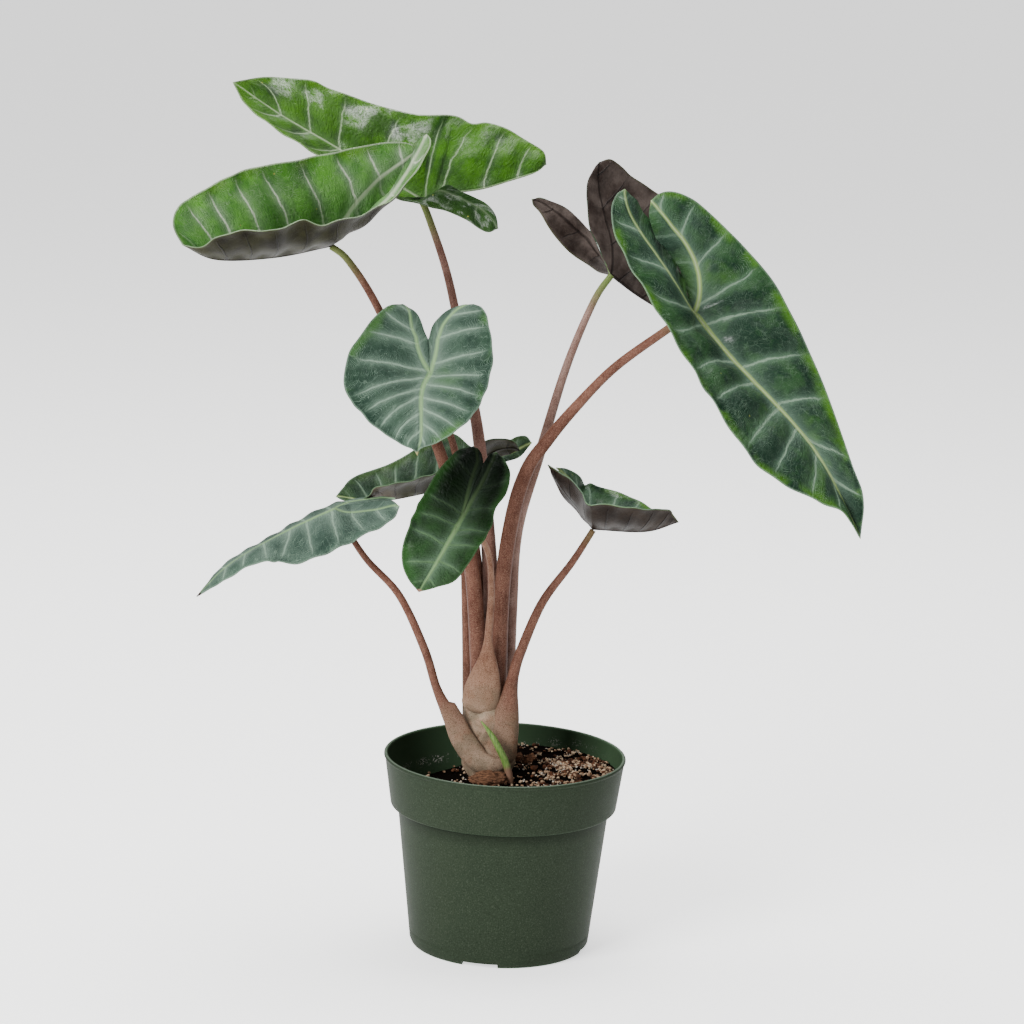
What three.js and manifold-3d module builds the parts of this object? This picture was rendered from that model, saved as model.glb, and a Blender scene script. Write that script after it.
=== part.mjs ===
// Potted pink dragon alocasia: nine arrow-shaped leaves on rose-brown petioles, rising from one short
// corm in a six-inch plastic nursery pot. Millimetres, +Z up. The origin is on the pot's axis at the
// plane it stands on, and the photograph was taken looking along +Y.
import * as THREE from 'three';
import { mergeVertices } from 'three/addons/utils/BufferGeometryUtils.js';
import Module from 'manifold-3d';

const wasm = await Module();
wasm.setup();

// Driving dimensions
const POT_HEIGHT = 133.5;
const RIM_RADIUS = 82.5;
const COLLAR_TOP_RADIUS = 81.7;
const COLLAR_FOOT_RADIUS = 77.2;
const COLLAR_FOOT_HEIGHT = 98;
const BODY_TOP_RADIUS = 72;
const BODY_FOOT_RADIUS = 62;
const FOOT_RADIUS = 59.9;
const WALL = 1.6;
const FLOOR_HEIGHT = 4;
const POT_SIDES = 56;
const DRAIN_RADIUS = 4.5;
const DRAIN_CIRCLE_RADIUS = 40;
const DRAIN_COUNT = 6;
const NOTCH_COUNT = 4;
const NOTCH_WIDTH = 25;
const NOTCH_HEIGHT = 3;
const NOTCH_FRONT_ANGLE = THREE.MathUtils.degToRad(-102);

const SOIL_LEFT_HEIGHT = 102;
const SOIL_RIGHT_HEIGHT = 119;
const SOIL_MOUND = 2.5;
const SOIL_SIDES = 40;

const CORM_CENTRE = [-11, 8];
const CORM_RADIUS = 18.5;

const BLADE_THICKNESS = 0.9;
const GAP = 0.3;
const SLIVER = 0.02;

const BODY_ROWS = 8;
const BRIDGE_ROWS = 2;
const LOBE_ROWS = 5;
const HALF_COLUMNS = 4;
const PETIOLE_SIDES = 8;
const PETIOLE_STEP = 22;

// Colours
const POT_GREEN = 0x2f4034;
const SOIL_BROWN = 0x2a211b;
const CORM_TAN = 0x8d7766;
const ROSE_BROWN = 0x84584a;
const PALE_GREEN = 0x8fa05c;
const BARK_BROWN = 0x6b4630;

// Leaves. Each blade has its midrib from the tip to the petiole's joint, the bottom of the notch
// between its two rear lobes, and for each half the outer margin from the tip to the lobe's end and the
// lobe's inner edge. "right" and "left" are as seen on the upper face with the tip towards the viewer's
// feet. "share" is how far along the margin the joint and the notch lie, "puff" how far each half
// stands out of flat, and "ripple" the number and height of the waves along the margin.
const LEAVES = {
  high_back: {
    colour: 0x4f8a3c,
    rib: [[-198, 48, 579], [-165, 53, 554], [-126, 58, 535], [-69, 62, 502]],
    notch: [-59, 60, 507],
    right: {
      margin: [[-161, 78, 582], [-134, 88, 574], [-77, 98, 557], [-27, 97, 553], [9, 92, 536], [14, 88, 530]],
      inner: [[-31, 60, 511], [-9, 70, 517]],
    },
    left: {
      margin: [[-176, 27, 557], [-139, 18, 536], [-102, 22, 514], [-71, 35, 503], [-43, 31, 495], [-28, 26, 487], [-17, 24, 488]],
      inner: [[-53, 46, 515], [-39, 36, 511], [-24, 27, 503]],
    },
    share: [0.6, 0.68], puff: [4, 3], ripple: [5, 1.2],
    petiole: {
      path: [[-10, 9, 140], [-12, 10, 196], [-16, 11, 265], [-25, 16, 344], [-35, 25, 393], [-49, 41, 451],
        [-63, 57, 488], [-70, 63, 503]],
      radii: [6, 5.2, 4.2, 3, 2.3],
    },
  },
  high_left: {
    colour: 0x58923c,
    rib: [[-214, -120, 491], [-193, -110, 481], [-158, -68, 478], [-126, -22, 480]],
    notch: [-101, -9, 503],
    right: {
      margin: [[-222, -108, 502], [-214, -88, 515], [-183, -60, 532], [-152, -35, 537], [-105, 2, 545], [-73, 14, 546]],
      inner: [[-89, 4, 514], [-79, 10, 530]],
    },
    left: {
      margin: [[-191, -140, 499], [-155, -118, 502], [-121, -72, 502], [-100, -42, 507], [-76, -10, 525], [-62, 7, 551]],
      inner: [[-87, -2, 510], [-76, 4, 522]],
    },
    share: [0.6, 0.75], puff: [5, -4], ripple: [5, 1.4],
    petiole: {
      path: [[-19, 3, 140], [-21, 2, 205], [-28, 1, 267], [-45, 0, 325], [-61, -3, 366], [-93, -10, 436],
        [-114, -18, 470], [-127, -22, 481]],
      radii: [5.7, 5.6, 4.2, 3, 2.2],
    },
  },
  right_back: {
    colour: 0x4c4038,
    rib: [[161, 130, 392], [125, 105, 412], [82, 66, 440], [60, 45, 458]],
    notch: [46, 42, 487],
    right: {
      margin: [[166, 125, 415], [159, 120, 440], [142, 115, 469], [121, 108, 491], [81, 92, 515], [51, 74, 533]],
      inner: [[42, 52, 511]],
    },
    left: {
      margin: [[141, 138, 409], [111, 128, 430], [71, 92, 448], [45, 52, 463], [24, 36, 481], [4, 26, 510]],
      inner: [[31, 34, 502], [20, 30, 508]],
    },
    share: [0.62, 0.78], puff: [3, 3], ripple: [4, 1],
    petiole: {
      path: [[1, 12, 140], [1, 13, 230], [3, 14, 287], [16, 16, 338], [32, 25, 397], [49, 35, 441], [61, 45, 459]],
      radii: [4.3, 4, 4, 3, 2.2],
    },
  },
  right_front: {
    colour: 0x2f5534,
    rib: [[227, -72, 307], [193, -62, 365], [138, -40, 419], [114, -25, 445]],
    notch: [103, -23, 474],
    right: {
      margin: [[214, -82, 326], [197, -88, 334], [161, -96, 354], [135, -90, 384], [84, -64, 458], [58, -42, 502], [63, -28, 524]],
      inner: [[87, -19, 488], [74, -19, 510]],
    },
    left: {
      margin: [[228, -68, 333], [220, -59, 354], [198, -38, 408], [169, -23, 462], [118, -12, 513], [87, -15, 520]],
      inner: [[87, -27, 492], [81, -23, 509]],
    },
    share: [0.55, 0.76], puff: [5, 5], ripple: [6, 1.2],
    petiole: {
      path: [[-5, 2, 140], [-6, 1, 240], [-1, 3, 295], [8, 3, 330], [21, 2, 351], [39, -1, 375], [64, -8, 404],
        [97, -18, 432], [114, -25, 446]],
      radii: [5.2, 5, 4.6, 3.2, 2.6],
    },
  },
  heart: {
    colour: 0x6f8f72,
    rib: [[-64, -62, 350], [-62, -58, 364], [-63, -42, 388], [-58, -30, 400]],
    notch: [-60, -24, 421],
    right: {
      margin: [[-77, -60, 358], [-102, -54, 371], [-114, -44, 391], [-111, -32, 414], [-99, -22, 431], [-81, -13, 442]],
      inner: [[-68, -15, 436]],
    },
    left: {
      margin: [[-51, -58, 357], [-30, -54, 373], [-16, -38, 407], [-22, -26, 435], [-36, -18, 445]],
      inner: [[-52, -17, 434]],
    },
    share: [0.55, 0.75], puff: [4, 4], ripple: [4, 1],
    petiole: {
      path: [[-15, 17, 140], [-17, 17, 201], [-24, 11, 269], [-36, -1, 326], [-47, -13, 365], [-58, -30, 401]],
      radii: [3.8, 3.4, 3, 2.5, 2],
    },
  },
  low_front: {
    colour: 0x20352a,
    rib: [[-60, -85, 264], [-47, -76, 286], [-33, -56, 310]],
    notch: [-21, -43, 343],
    right: {
      margin: [[-69, -84, 275], [-71, -76, 292], [-58, -60, 321], [-43, -45, 345], [-28, -39, 353]],
      inner: [[-24, -41, 349]],
    },
    left: {
      margin: [[-48, -82, 267], [-28, -70, 283], [-13, -50, 312], [-3, -38, 334], [-12, -36, 350]],
      inner: [[-18, -40, 347]],
    },
    share: [0.55, 0.86], puff: [3, 3], ripple: [4, 0.8],
    petiole: {
      path: [[-15, -9, 160], [-15, -9, 180], [-13, -13, 216], [-13, -19, 252], [-17, -32, 283], [-33, -57, 311]],
      radii: [4, 2.6, 2.2, 2, 1.8], sheath: [12, 5, 0.28],
    },
  },
  low_left: {
    colour: 0x64806b,
    rib: [[-209, -35, 244], [-188, -26, 265], [-153, -16, 286], [-120, -8, 302]],
    notch: [-110, 4, 302],
    right: {
      margin: [[-193, -6, 254], [-166, 20, 262], [-135, 33, 275], [-108, 32, 290], [-83, 14, 302]],
      inner: [[-97, 7, 303]],
    },
    left: {
      margin: [[-187, -40, 260], [-158, -45, 271], [-140, -46, 271], [-107, -38, 287], [-87, -30, 294], [-75, -24, 309]],
      inner: [[-94, -5, 306]],
    },
    share: [0.68, 0.76], puff: [3, 3], ripple: [5, 1.2],
    petiole: {
      path: [[-23, 0, 127], [-36, -3, 146], [-46, -6, 173], [-56, -8, 207], [-75, -10, 244], [-99, -11, 270],
        [-121, -8, 303]],
      radii: [4.5, 3.6, 3, 2.4, 1.9], sheath: [7, 7, 0.22],
    },
  },
  mid_back: {
    colour: 0x3d5a3a,
    rib: [[-121, 25, 303], [-91, 34, 299], [-54, 46, 305], [-40, 48, 309]],
    notch: [-25, 54, 320],
    right: {
      margin: [[-110, 40, 312], [-84, 61, 320], [-48, 80, 339], [-29, 78, 330], [-7, 74, 333], [11, 66, 338]],
      inner: [[-10, 60, 323]],
    },
    left: {
      margin: [[-108, 13, 303], [-96, 8, 310], [-74, 10, 318], [-51, 17, 327], [-20, 24, 345], [3, 33, 338]],
      inner: [[-10, 47, 330]],
    },
    share: [0.6, 0.75], puff: [2, 2], ripple: [4, 0.8],
    petiole: {
      path: [[-25, 12, 140], [-28, 13, 202], [-33, 21, 270], [-38, 38, 300], [-40, 49, 310]],
      radii: [3.6, 3, 2.6, 2.2, 1.9],
    },
  },
  low_right: {
    colour: 0x5a6152,
    rib: [[111, -5, 300], [89, 2, 291], [54, 8, 290]],
    notch: [46, 24, 302],
    right: {
      margin: [[103, -18, 312], [84, -30, 315], [57, -33, 317], [38, -16, 327], [22, -5, 335]],
      inner: [[40, 16, 313]],
    },
    left: {
      margin: [[97, 22, 303], [79, 40, 309], [54, 48, 312], [46, 42, 316], [28, 26, 327]],
      inner: [[40, 23, 313]],
    },
    share: [0.62, 0.75], puff: [-3, 3], ripple: [4, 0.8],
    petiole: {
      path: [[0, -4, 128], [2, -6, 166], [6, -5, 199], [21, -1, 240], [41, 4, 268], [55, 8, 291]],
      radii: [4.4, 4.2, 3.4, 2.8, 2.1],
    },
  },
};

const vector = (xyz) => new THREE.Vector3(...xyz);
const curve = (points) => new THREE.CatmullRomCurve3(points.map(vector), false, 'catmullrom', 0.5);

// A closed geometry as a manifold solid, and back.
function toSolid(geometry) {
  const bare = geometry.clone();
  bare.deleteAttribute('normal');
  bare.deleteAttribute('uv');
  const merged = mergeVertices(bare, 1e-4);
  return new wasm.Manifold(new wasm.Mesh({
    numProp: 3,
    vertProperties: new Float32Array(merged.attributes.position.array),
    triVerts: new Uint32Array(merged.index.array),
  }));
}

function toGeometry(solid) {
  const mesh = solid.simplify(SLIVER).getMesh();
  const geometry = new THREE.BufferGeometry();
  geometry.setAttribute('position', new THREE.BufferAttribute(new Float32Array(mesh.vertProperties), 3));
  geometry.setIndex(new THREE.BufferAttribute(new Uint32Array(mesh.triVerts), 1));
  geometry.computeVertexNormals();
  return geometry;
}

// A cut can leave crumbs: only the largest body stays.
function largestBody(solid) {
  return solid.decompose().reduce((a, b) => (b.volume() > a.volume() ? b : a));
}

// One half of a blade: the place on its middle surface for a row counted from the tip, and a column
// counted from the midrib (or the lobe's inner edge) to the margin.
function halfSurface(leaf, half, side) {
  const tip = leaf.rib[0];
  const joint = leaf.rib.at(-1);
  const lobeEnd = half.margin.at(-1);
  const rib = curve(leaf.rib);
  const bridge = new THREE.LineCurve3(vector(joint), vector(leaf.notch));
  const innerEdge = curve([leaf.notch, ...half.inner, lobeEnd]);
  const margin = curve([tip, ...half.margin]);
  const [jointShare, notchShare] = leaf.share;
  const rows = BODY_ROWS + BRIDGE_ROWS + LOBE_ROWS;
  return (row, column) => {
    let inner;
    let along;
    if (row <= BODY_ROWS) {
      const t = row / BODY_ROWS;
      inner = rib.getPointAt(t);
      along = t * jointShare;
    } else if (row <= BODY_ROWS + BRIDGE_ROWS) {
      const t = (row - BODY_ROWS) / BRIDGE_ROWS;
      inner = bridge.getPointAt(t);
      along = THREE.MathUtils.lerp(jointShare, notchShare, t);
    } else {
      const t = Math.sin(((row - BODY_ROWS - BRIDGE_ROWS) / LOBE_ROWS) * Math.PI / 2);
      inner = innerEdge.getPointAt(t);
      along = THREE.MathUtils.lerp(notchShare, 1, t);
    }
    const outer = margin.getPointAt(along);
    const across = column / HALF_COLUMNS;
    const out = outer.clone().sub(inner);
    const forward = rib.getTangentAt(Math.min(1, row / BODY_ROWS));
    const up = forward.cross(out).normalize().multiplyScalar(side);
    const fade = Math.sin(Math.PI * row / rows);
    const [waves, height] = leaf.ripple;
    const lift = leaf.puff[side > 0 ? 0 : 1] * 4 * across * (1 - across) * fade
      + height * across ** 2 * fade * Math.sin(2 * Math.PI * waves * along + side);
    return inner.addScaledVector(out, across).addScaledVector(up, lift);
  };
}

// The middle surface of a whole blade as points and triangles that face up.
function bladeSheet(leaf) {
  const rows = BODY_ROWS + BRIDGE_ROWS + LOBE_ROWS;
  const shared = BODY_ROWS + BRIDGE_ROWS;
  const points = [];
  const triangles = [];
  const sharedIndex = [];
  for (const side of [1, -1]) {
    const surface = halfSurface(leaf, side > 0 ? leaf.right : leaf.left, side);
    const index = [];
    for (let row = 0; row <= rows; row += 1) {
      index.push([]);
      for (let column = 0; column <= HALF_COLUMNS; column += 1) {
        const single = row === 0 || row === rows;
        if (single && column > 0) {
          index[row].push(index[row][0]);
        } else if (side < 0 && column === 0 && row <= shared) {
          index[row].push(sharedIndex[row]);
        } else {
          index[row].push(points.length);
          points.push(surface(row, column));
        }
      }
      if (side > 0 && row <= shared) sharedIndex.push(index[row][0]);
    }
    for (let row = 0; row < rows; row += 1) {
      for (let column = 0; column < HALF_COLUMNS; column += 1) {
        const a = index[row][column];
        const b = index[row + 1][column];
        const c = index[row + 1][column + 1];
        const d = index[row][column + 1];
        for (const [p, q, r] of [[a, b, c], [a, c, d]]) {
          if (p !== q && q !== r && r !== p) triangles.push(side > 0 ? [p, q, r] : [p, r, q]);
        }
      }
    }
  }
  return { points, triangles };
}

// A sheet given thickness along its own normals, with a wall round its free edge.
function thicken({ points, triangles }, thickness) {
  const normals = points.map(() => new THREE.Vector3());
  for (const [a, b, c] of triangles) {
    const ab = points[b].clone().sub(points[a]);
    const face = ab.cross(points[c].clone().sub(points[a]));
    for (const corner of [a, b, c]) normals[corner].add(face);
  }
  normals.forEach((normal) => normal.normalize());
  const count = points.length;
  const upper = points.map((p, i) => p.clone().addScaledVector(normals[i], thickness / 2));
  const lower = points.map((p, i) => p.clone().addScaledVector(normals[i], -thickness / 2));
  const faces = [];
  const edges = new Set();
  for (const [a, b, c] of triangles) {
    faces.push([a, b, c], [a + count, c + count, b + count]);
    for (const edge of [[a, b], [b, c], [c, a]]) edges.add(edge.join());
  }
  for (const edge of edges) {
    const [a, b] = edge.split(',').map(Number);
    if (!edges.has([b, a].join())) faces.push([b, a, a + count], [b, a + count, b + count]);
  }
  const geometry = new THREE.BufferGeometry();
  geometry.setFromPoints([...upper, ...lower]);
  geometry.setIndex(faces.flat());
  geometry.computeVertexNormals();
  return geometry;
}

// A petiole: a closed cylinder bent along its path, thinner towards the blade, and where it has a
// sheath, wide and flat at the foot. One that grows is the clear space round it, deeper at the foot.
function petioleGeometry({ path, radii, sheath }, grow) {
  const line = curve(path);
  const steps = Math.max(8, Math.round(line.getLength() / PETIOLE_STEP));
  const frames = line.computeFrenetFrames(steps);
  const geometry = new THREE.CylinderGeometry(1, 1, 1, PETIOLE_SIDES, steps);
  const position = geometry.attributes.position;
  const [sheathX, sheathY, sheathShare] = sheath ?? [0, 0, 1];
  const scale = new THREE.Vector3();
  for (let i = 0; i < position.count; i += 1) {
    const t = position.getY(i) + 0.5;
    const step = Math.round(t * steps);
    const place = t * (radii.length - 1);
    const low = Math.min(Math.floor(place), radii.length - 2);
    const radius = THREE.MathUtils.lerp(radii[low], radii[low + 1], place - low);
    const flare = THREE.MathUtils.smoothstep(1 - t / sheathShare, 0, 1);
    scale.set(
      THREE.MathUtils.lerp(radius, Math.max(radius, sheathX), flare) + grow,
      THREE.MathUtils.lerp(radius, Math.max(radius, sheathY), flare) + grow,
      radius + grow,
    );
    const offset = frames.binormals[step].clone().multiplyScalar(position.getX(i));
    offset.addScaledVector(frames.normals[step], position.getZ(i)).multiply(scale);
    const centre = line.getPointAt(t);
    if (step === 0) centre.addScaledVector(frames.tangents[0], -4 * grow);
    position.setXYZ(i, ...centre.add(offset));
  }
  return geometry;
}

// The pot: a turned shell with a rolled rim, a collar, a tapered body and a foot ring, then drain holes
// through its floor and notches through its foot.
function potSolid() {
  const profile = [
    [0, FLOOR_HEIGHT], [FOOT_RADIUS - 5.5, FLOOR_HEIGHT], [FOOT_RADIUS - 4, 0], [FOOT_RADIUS, 0],
    [BODY_FOOT_RADIUS - 0.4, 2], [BODY_FOOT_RADIUS, 8],
    [BODY_TOP_RADIUS, COLLAR_FOOT_HEIGHT - 1.5], [COLLAR_FOOT_RADIUS - 1.2, COLLAR_FOOT_HEIGHT - 0.6],
    [COLLAR_FOOT_RADIUS, COLLAR_FOOT_HEIGHT + 0.8],
    [COLLAR_TOP_RADIUS, POT_HEIGHT - 4], [RIM_RADIUS, POT_HEIGHT - 2.6], [RIM_RADIUS, POT_HEIGHT - 0.8],
    [RIM_RADIUS - 0.8, POT_HEIGHT], [RIM_RADIUS - 2, POT_HEIGHT],
    [COLLAR_TOP_RADIUS - WALL, POT_HEIGHT - 4], [COLLAR_FOOT_RADIUS - WALL, COLLAR_FOOT_HEIGHT + 1.5],
    [BODY_TOP_RADIUS - WALL, COLLAR_FOOT_HEIGHT + 0.3], [BODY_FOOT_RADIUS - WALL, 8],
    [BODY_FOOT_RADIUS - WALL - 1.5, FLOOR_HEIGHT + WALL], [0, FLOOR_HEIGHT + WALL],
  ];
  const shell = new THREE.LatheGeometry(profile.map(([r, z]) => new THREE.Vector2(r, z)), POT_SIDES);
  let solid = toSolid(shell.rotateX(Math.PI / 2));
  for (let i = 0; i < DRAIN_COUNT; i += 1) {
    const angle = (i + 0.5) * 2 * Math.PI / DRAIN_COUNT;
    const drill = new THREE.CylinderGeometry(DRAIN_RADIUS, DRAIN_RADIUS, 20, 16).rotateX(Math.PI / 2);
    drill.translate(DRAIN_CIRCLE_RADIUS * Math.cos(angle), DRAIN_CIRCLE_RADIUS * Math.sin(angle), FLOOR_HEIGHT);
    solid = solid.subtract(toSolid(drill));
  }
  for (let i = 0; i < NOTCH_COUNT; i += 1) {
    const cutter = new THREE.BoxGeometry(14, NOTCH_WIDTH, 2 * NOTCH_HEIGHT).translate(FOOT_RADIUS, 0, 0);
    solid = solid.subtract(toSolid(cutter.rotateZ(NOTCH_FRONT_ANGLE + i * 2 * Math.PI / NOTCH_COUNT)));
  }
  return solid;
}

// Height of the soil: it has sunk at the left, and rises round the corm.
function soilHeight(x, y) {
  const fromCorm = Math.hypot(x - CORM_CENTRE[0], y - CORM_CENTRE[1]);
  const slope = THREE.MathUtils.smoothstep(x, -62, 8);
  const mound = SOIL_MOUND * Math.exp(-((fromCorm / 30) ** 2));
  const lumps = Math.sin(x / 7) * Math.cos(y / 9);
  return THREE.MathUtils.lerp(SOIL_LEFT_HEIGHT, SOIL_RIGHT_HEIGHT, slope) + mound + lumps;
}

// Inner radius of the collar at a height.
function collarInside(z) {
  const t = (z - COLLAR_FOOT_HEIGHT) / (POT_HEIGHT - 4 - COLLAR_FOOT_HEIGHT);
  return THREE.MathUtils.lerp(COLLAR_FOOT_RADIUS, COLLAR_TOP_RADIUS, t) - WALL;
}

// The soil: a turned plug with clear air to the pot, whose top face is then lifted to the soil's height.
function soilGeometry() {
  const air = 0.6;
  const bottom = FLOOR_HEIGHT + WALL + GAP;
  const bodyTop = BODY_TOP_RADIUS - WALL - air;
  const bodyFoot = BODY_FOOT_RADIUS - WALL - air;
  const rings = [72, 60, 46, 33, 22, 11, 0];
  const profile = [[0, bottom], [bodyFoot - 2, bottom], [bodyFoot, 9], [bodyTop, COLLAR_FOOT_HEIGHT + 0.6],
    [collarInside(COLLAR_FOOT_HEIGHT) - air, COLLAR_FOOT_HEIGHT + 2.4],
    [collarInside(SOIL_RIGHT_HEIGHT), SOIL_RIGHT_HEIGHT], ...rings.map((r) => [r, SOIL_RIGHT_HEIGHT])];
  const lathe = new THREE.LatheGeometry(profile.map(([r, z]) => new THREE.Vector2(r, z)), SOIL_SIDES);
  lathe.rotateX(Math.PI / 2);
  const position = lathe.attributes.position;
  for (let i = 0; i < position.count; i += 1) {
    if (position.getZ(i) > SOIL_RIGHT_HEIGHT - 0.1) {
      const [x, y] = [position.getX(i), position.getY(i)];
      const z = soilHeight(x, y);
      const shrink = Math.min(1, (collarInside(z) - air) / Math.max(Math.hypot(x, y), 1));
      position.setXYZ(i, x * shrink, y * shrink, z);
    }
  }
  return lathe;
}

// The corm: a short knobbly stock, ringed by old leaf scars.
function cormGeometry(grow) {
  const profile = [[0, 98], [9, 99], [14, 104], [17, 112], [18.5, 122], [18, 132], [17.2, 142], [17.5, 152],
    [16, 160], [12, 165], [0, 167]];
  const points = profile.map(([r, z]) => new THREE.Vector2(r > 0 ? r * CORM_RADIUS / 18.5 + grow : 0, z));
  const lathe = new THREE.LatheGeometry(points, 20).rotateX(Math.PI / 2);
  const position = lathe.attributes.position;
  for (let i = 0; i < position.count; i += 1) {
    const angle = Math.atan2(position.getY(i), position.getX(i));
    const knob = 1 + 0.05 * Math.sin(3 * angle + position.getZ(i) / 9);
    position.setX(i, position.getX(i) * knob + CORM_CENTRE[0]);
    position.setY(i, position.getY(i) * knob + CORM_CENTRE[1]);
  }
  return lathe;
}

// A young shoot in front of the corm: a short stalk and a narrow rolled blade.
const SHOOT = {
  path: [[4, -22, 108], [3.5, -22, 122], [1, -21, 132], [-4, -20, 142], [-10, -19, 152], [-18, -19, 162]],
  radii: [3, 2.6, 1.8, 1.4, 0.5],
};

function barkGeometry() {
  const chunk = new THREE.IcosahedronGeometry(1, 2);
  const position = chunk.attributes.position;
  for (let i = 0; i < position.count; i += 1) {
    const [x, y, z] = [position.getX(i), position.getY(i), position.getZ(i)];
    const knob = 1 + 0.12 * Math.sin(5 * x + 3 * y) * Math.cos(4 * z);
    position.setXYZ(i, x * knob * 10, y * knob * 5, z * knob * 4);
  }
  return chunk;
}

const group = new THREE.Group();

function addNode(name, geometry, color, roughness = 0.6) {
  const mesh = new THREE.Mesh(geometry, new THREE.MeshStandardMaterial({ color, roughness, metalness: 0 }));
  mesh.name = name;
  group.add(mesh);
}

// Blades, and the same blades a gap thicker all round, which the petioles are cut back to.
const sheets = Object.fromEntries(Object.entries(LEAVES).map(([name, leaf]) => [name, bladeSheet(leaf)]));
for (const [name, leaf] of Object.entries(LEAVES)) {
  addNode(`blade_${name}`, thicken(sheets[name], BLADE_THICKNESS), leaf.colour, 0.4);
}

// Petioles, the outermost first: each one that stands behind is cut clear of those in front.
const CUTTING_ORDER = ['low_front', 'low_right', 'low_left', 'high_left', 'right_front', 'high_back', 'mid_back',
  'right_back', 'heart'];
let standing = [];
for (const name of CUTTING_ORDER) {
  const { petiole } = LEAVES[name];
  let solid = toSolid(petioleGeometry(petiole, 0));
  solid = solid.subtract(toSolid(thicken(sheets[name], BLADE_THICKNESS + 2 * GAP)));
  for (const other of standing) solid = solid.subtract(other);
  addNode(`petiole_${name}`, toGeometry(largestBody(solid)), ROSE_BROWN, 0.5);
  standing.push(toSolid(petioleGeometry(petiole, GAP)));
}

let corm = toSolid(cormGeometry(0));
for (const other of standing) corm = corm.subtract(other);
addNode('corm', toGeometry(largestBody(corm)), CORM_TAN, 0.8);

const shoot = toSolid(petioleGeometry(SHOOT, 0)).subtract(toSolid(cormGeometry(GAP)));
addNode('shoot', toGeometry(largestBody(shoot)), PALE_GREEN, 0.5);

const bark = barkGeometry().rotateZ(0.3).translate(-8, -27, 122);
addNode('bark', toGeometry(toSolid(bark).subtract(toSolid(petioleGeometry(SHOOT, GAP)))), BARK_BROWN, 0.9);

let soil = toSolid(soilGeometry());
const barkHole = barkGeometry().scale(1.05, 1.08, 1.1).rotateZ(0.3).translate(-8, -27, 122);
for (const cutter of [cormGeometry(GAP), petioleGeometry(SHOOT, GAP), barkHole]) soil = soil.subtract(toSolid(cutter));
addNode('soil', toGeometry(largestBody(soil)), SOIL_BROWN, 0.95);

addNode('pot', toGeometry(potSolid()), POT_GREEN, 0.55);

export default group;
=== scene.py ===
# Potted pink dragon alocasia: nine arrow-shaped leaves on rose-brown petioles, rising from a tan corm
# in a dark green plastic nursery pot of bark mix. Lengths are millimetres, times MM for Blender's metres.
import math
import random

import bmesh
import bpy
import numpy as np
from mathutils import Matrix, Vector, noise


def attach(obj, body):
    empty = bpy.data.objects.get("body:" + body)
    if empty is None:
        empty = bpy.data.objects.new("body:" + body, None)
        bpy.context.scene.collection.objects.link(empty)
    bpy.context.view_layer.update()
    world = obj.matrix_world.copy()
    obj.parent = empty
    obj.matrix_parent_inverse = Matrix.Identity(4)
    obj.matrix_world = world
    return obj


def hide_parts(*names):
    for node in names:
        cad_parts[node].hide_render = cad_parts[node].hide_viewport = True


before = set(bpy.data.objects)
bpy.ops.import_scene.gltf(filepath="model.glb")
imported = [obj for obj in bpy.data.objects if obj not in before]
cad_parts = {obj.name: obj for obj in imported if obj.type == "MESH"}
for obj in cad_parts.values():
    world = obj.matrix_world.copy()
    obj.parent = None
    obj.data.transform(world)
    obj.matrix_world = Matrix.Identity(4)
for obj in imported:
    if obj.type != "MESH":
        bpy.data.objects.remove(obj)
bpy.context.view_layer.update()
MM = 0.001

# Camera: a long lens in front of the plant and a little above it, tilted down, and rolled so that the pot
# leans slightly.
CAMERA_PLACE = (-1, -2370, 797)
CAMERA_PITCH = 0.206
CAMERA_ROLL = 0.035
CAMERA_LENS = 126.56


def added(name, data):
    """A new object that shows this data, linked into the scene."""
    thing = bpy.data.objects.new(name, data)
    bpy.context.collection.objects.link(thing)
    return thing


camera_data = bpy.data.cameras.new("camera")
camera_data.lens = CAMERA_LENS
camera = added("camera", camera_data)
tilt = Matrix.Rotation(math.pi / 2 - CAMERA_PITCH, 4, "X")
roll = Matrix.Rotation(CAMERA_ROLL, 4, "Z")
camera.matrix_world = Matrix.Translation(Vector(CAMERA_PLACE) * MM) @ tilt @ roll
bpy.context.scene.camera = camera

# Studio: a pale floor that glows a little, dim even surroundings, a broad soft light high at the left
# front, one behind and above for the gloss of the leaves, and a weak one at the right.
STUDIO_LIGHT = 2.6
WORLD_LIGHT = 0.3
FLOOR_GLOW = 1.2
FLOOR_SIZE = 40000
LIGHTS_AIM = (0, 0, 300)
LIGHTS = {
    "key": ((-1500, -1700, 1500), 1.2, 115),
    "back": ((0, 500, 2400), 1.6, 90),
    "fill": ((1600, -1400, 900), 1.6, 3),
}


class Wire:
    """A shader socket's output, so that sums and products of masks read as plain arithmetic."""

    def __init__(self, finish, socket):
        self.finish = finish
        self.socket = socket

    def math(self, operation, *others):
        return self.finish.math(operation, self, *others)

    def __add__(self, other):
        return self.math("ADD", other)

    def __sub__(self, other):
        return self.math("SUBTRACT", other)

    def __rsub__(self, other):
        return self.finish.math("SUBTRACT", other, self)

    def __mul__(self, other):
        return self.math("MULTIPLY", other)

    def __truediv__(self, other):
        return self.math("DIVIDE", other)

    def __rtruediv__(self, other):
        return self.finish.math("DIVIDE", other, self)

    def __pow__(self, other):
        return self.math("POWER", other)

    def __abs__(self):
        return self.math("ABSOLUTE")

    __radd__ = __add__
    __rmul__ = __mul__

    def step(self, low, high):
        """0 at low and 1 at high, smooth between, whichever of the two is the larger."""
        ends = (low, high, 0, 1) if low < high else (high, low, 1, 0)
        return self.finish.node("ShaderNodeMapRange", {"interpolation_type": "SMOOTHSTEP"},
                                dict(enumerate((self, *ends))))

    def at_most(self, most):
        return self.math("MINIMUM", most)


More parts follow.
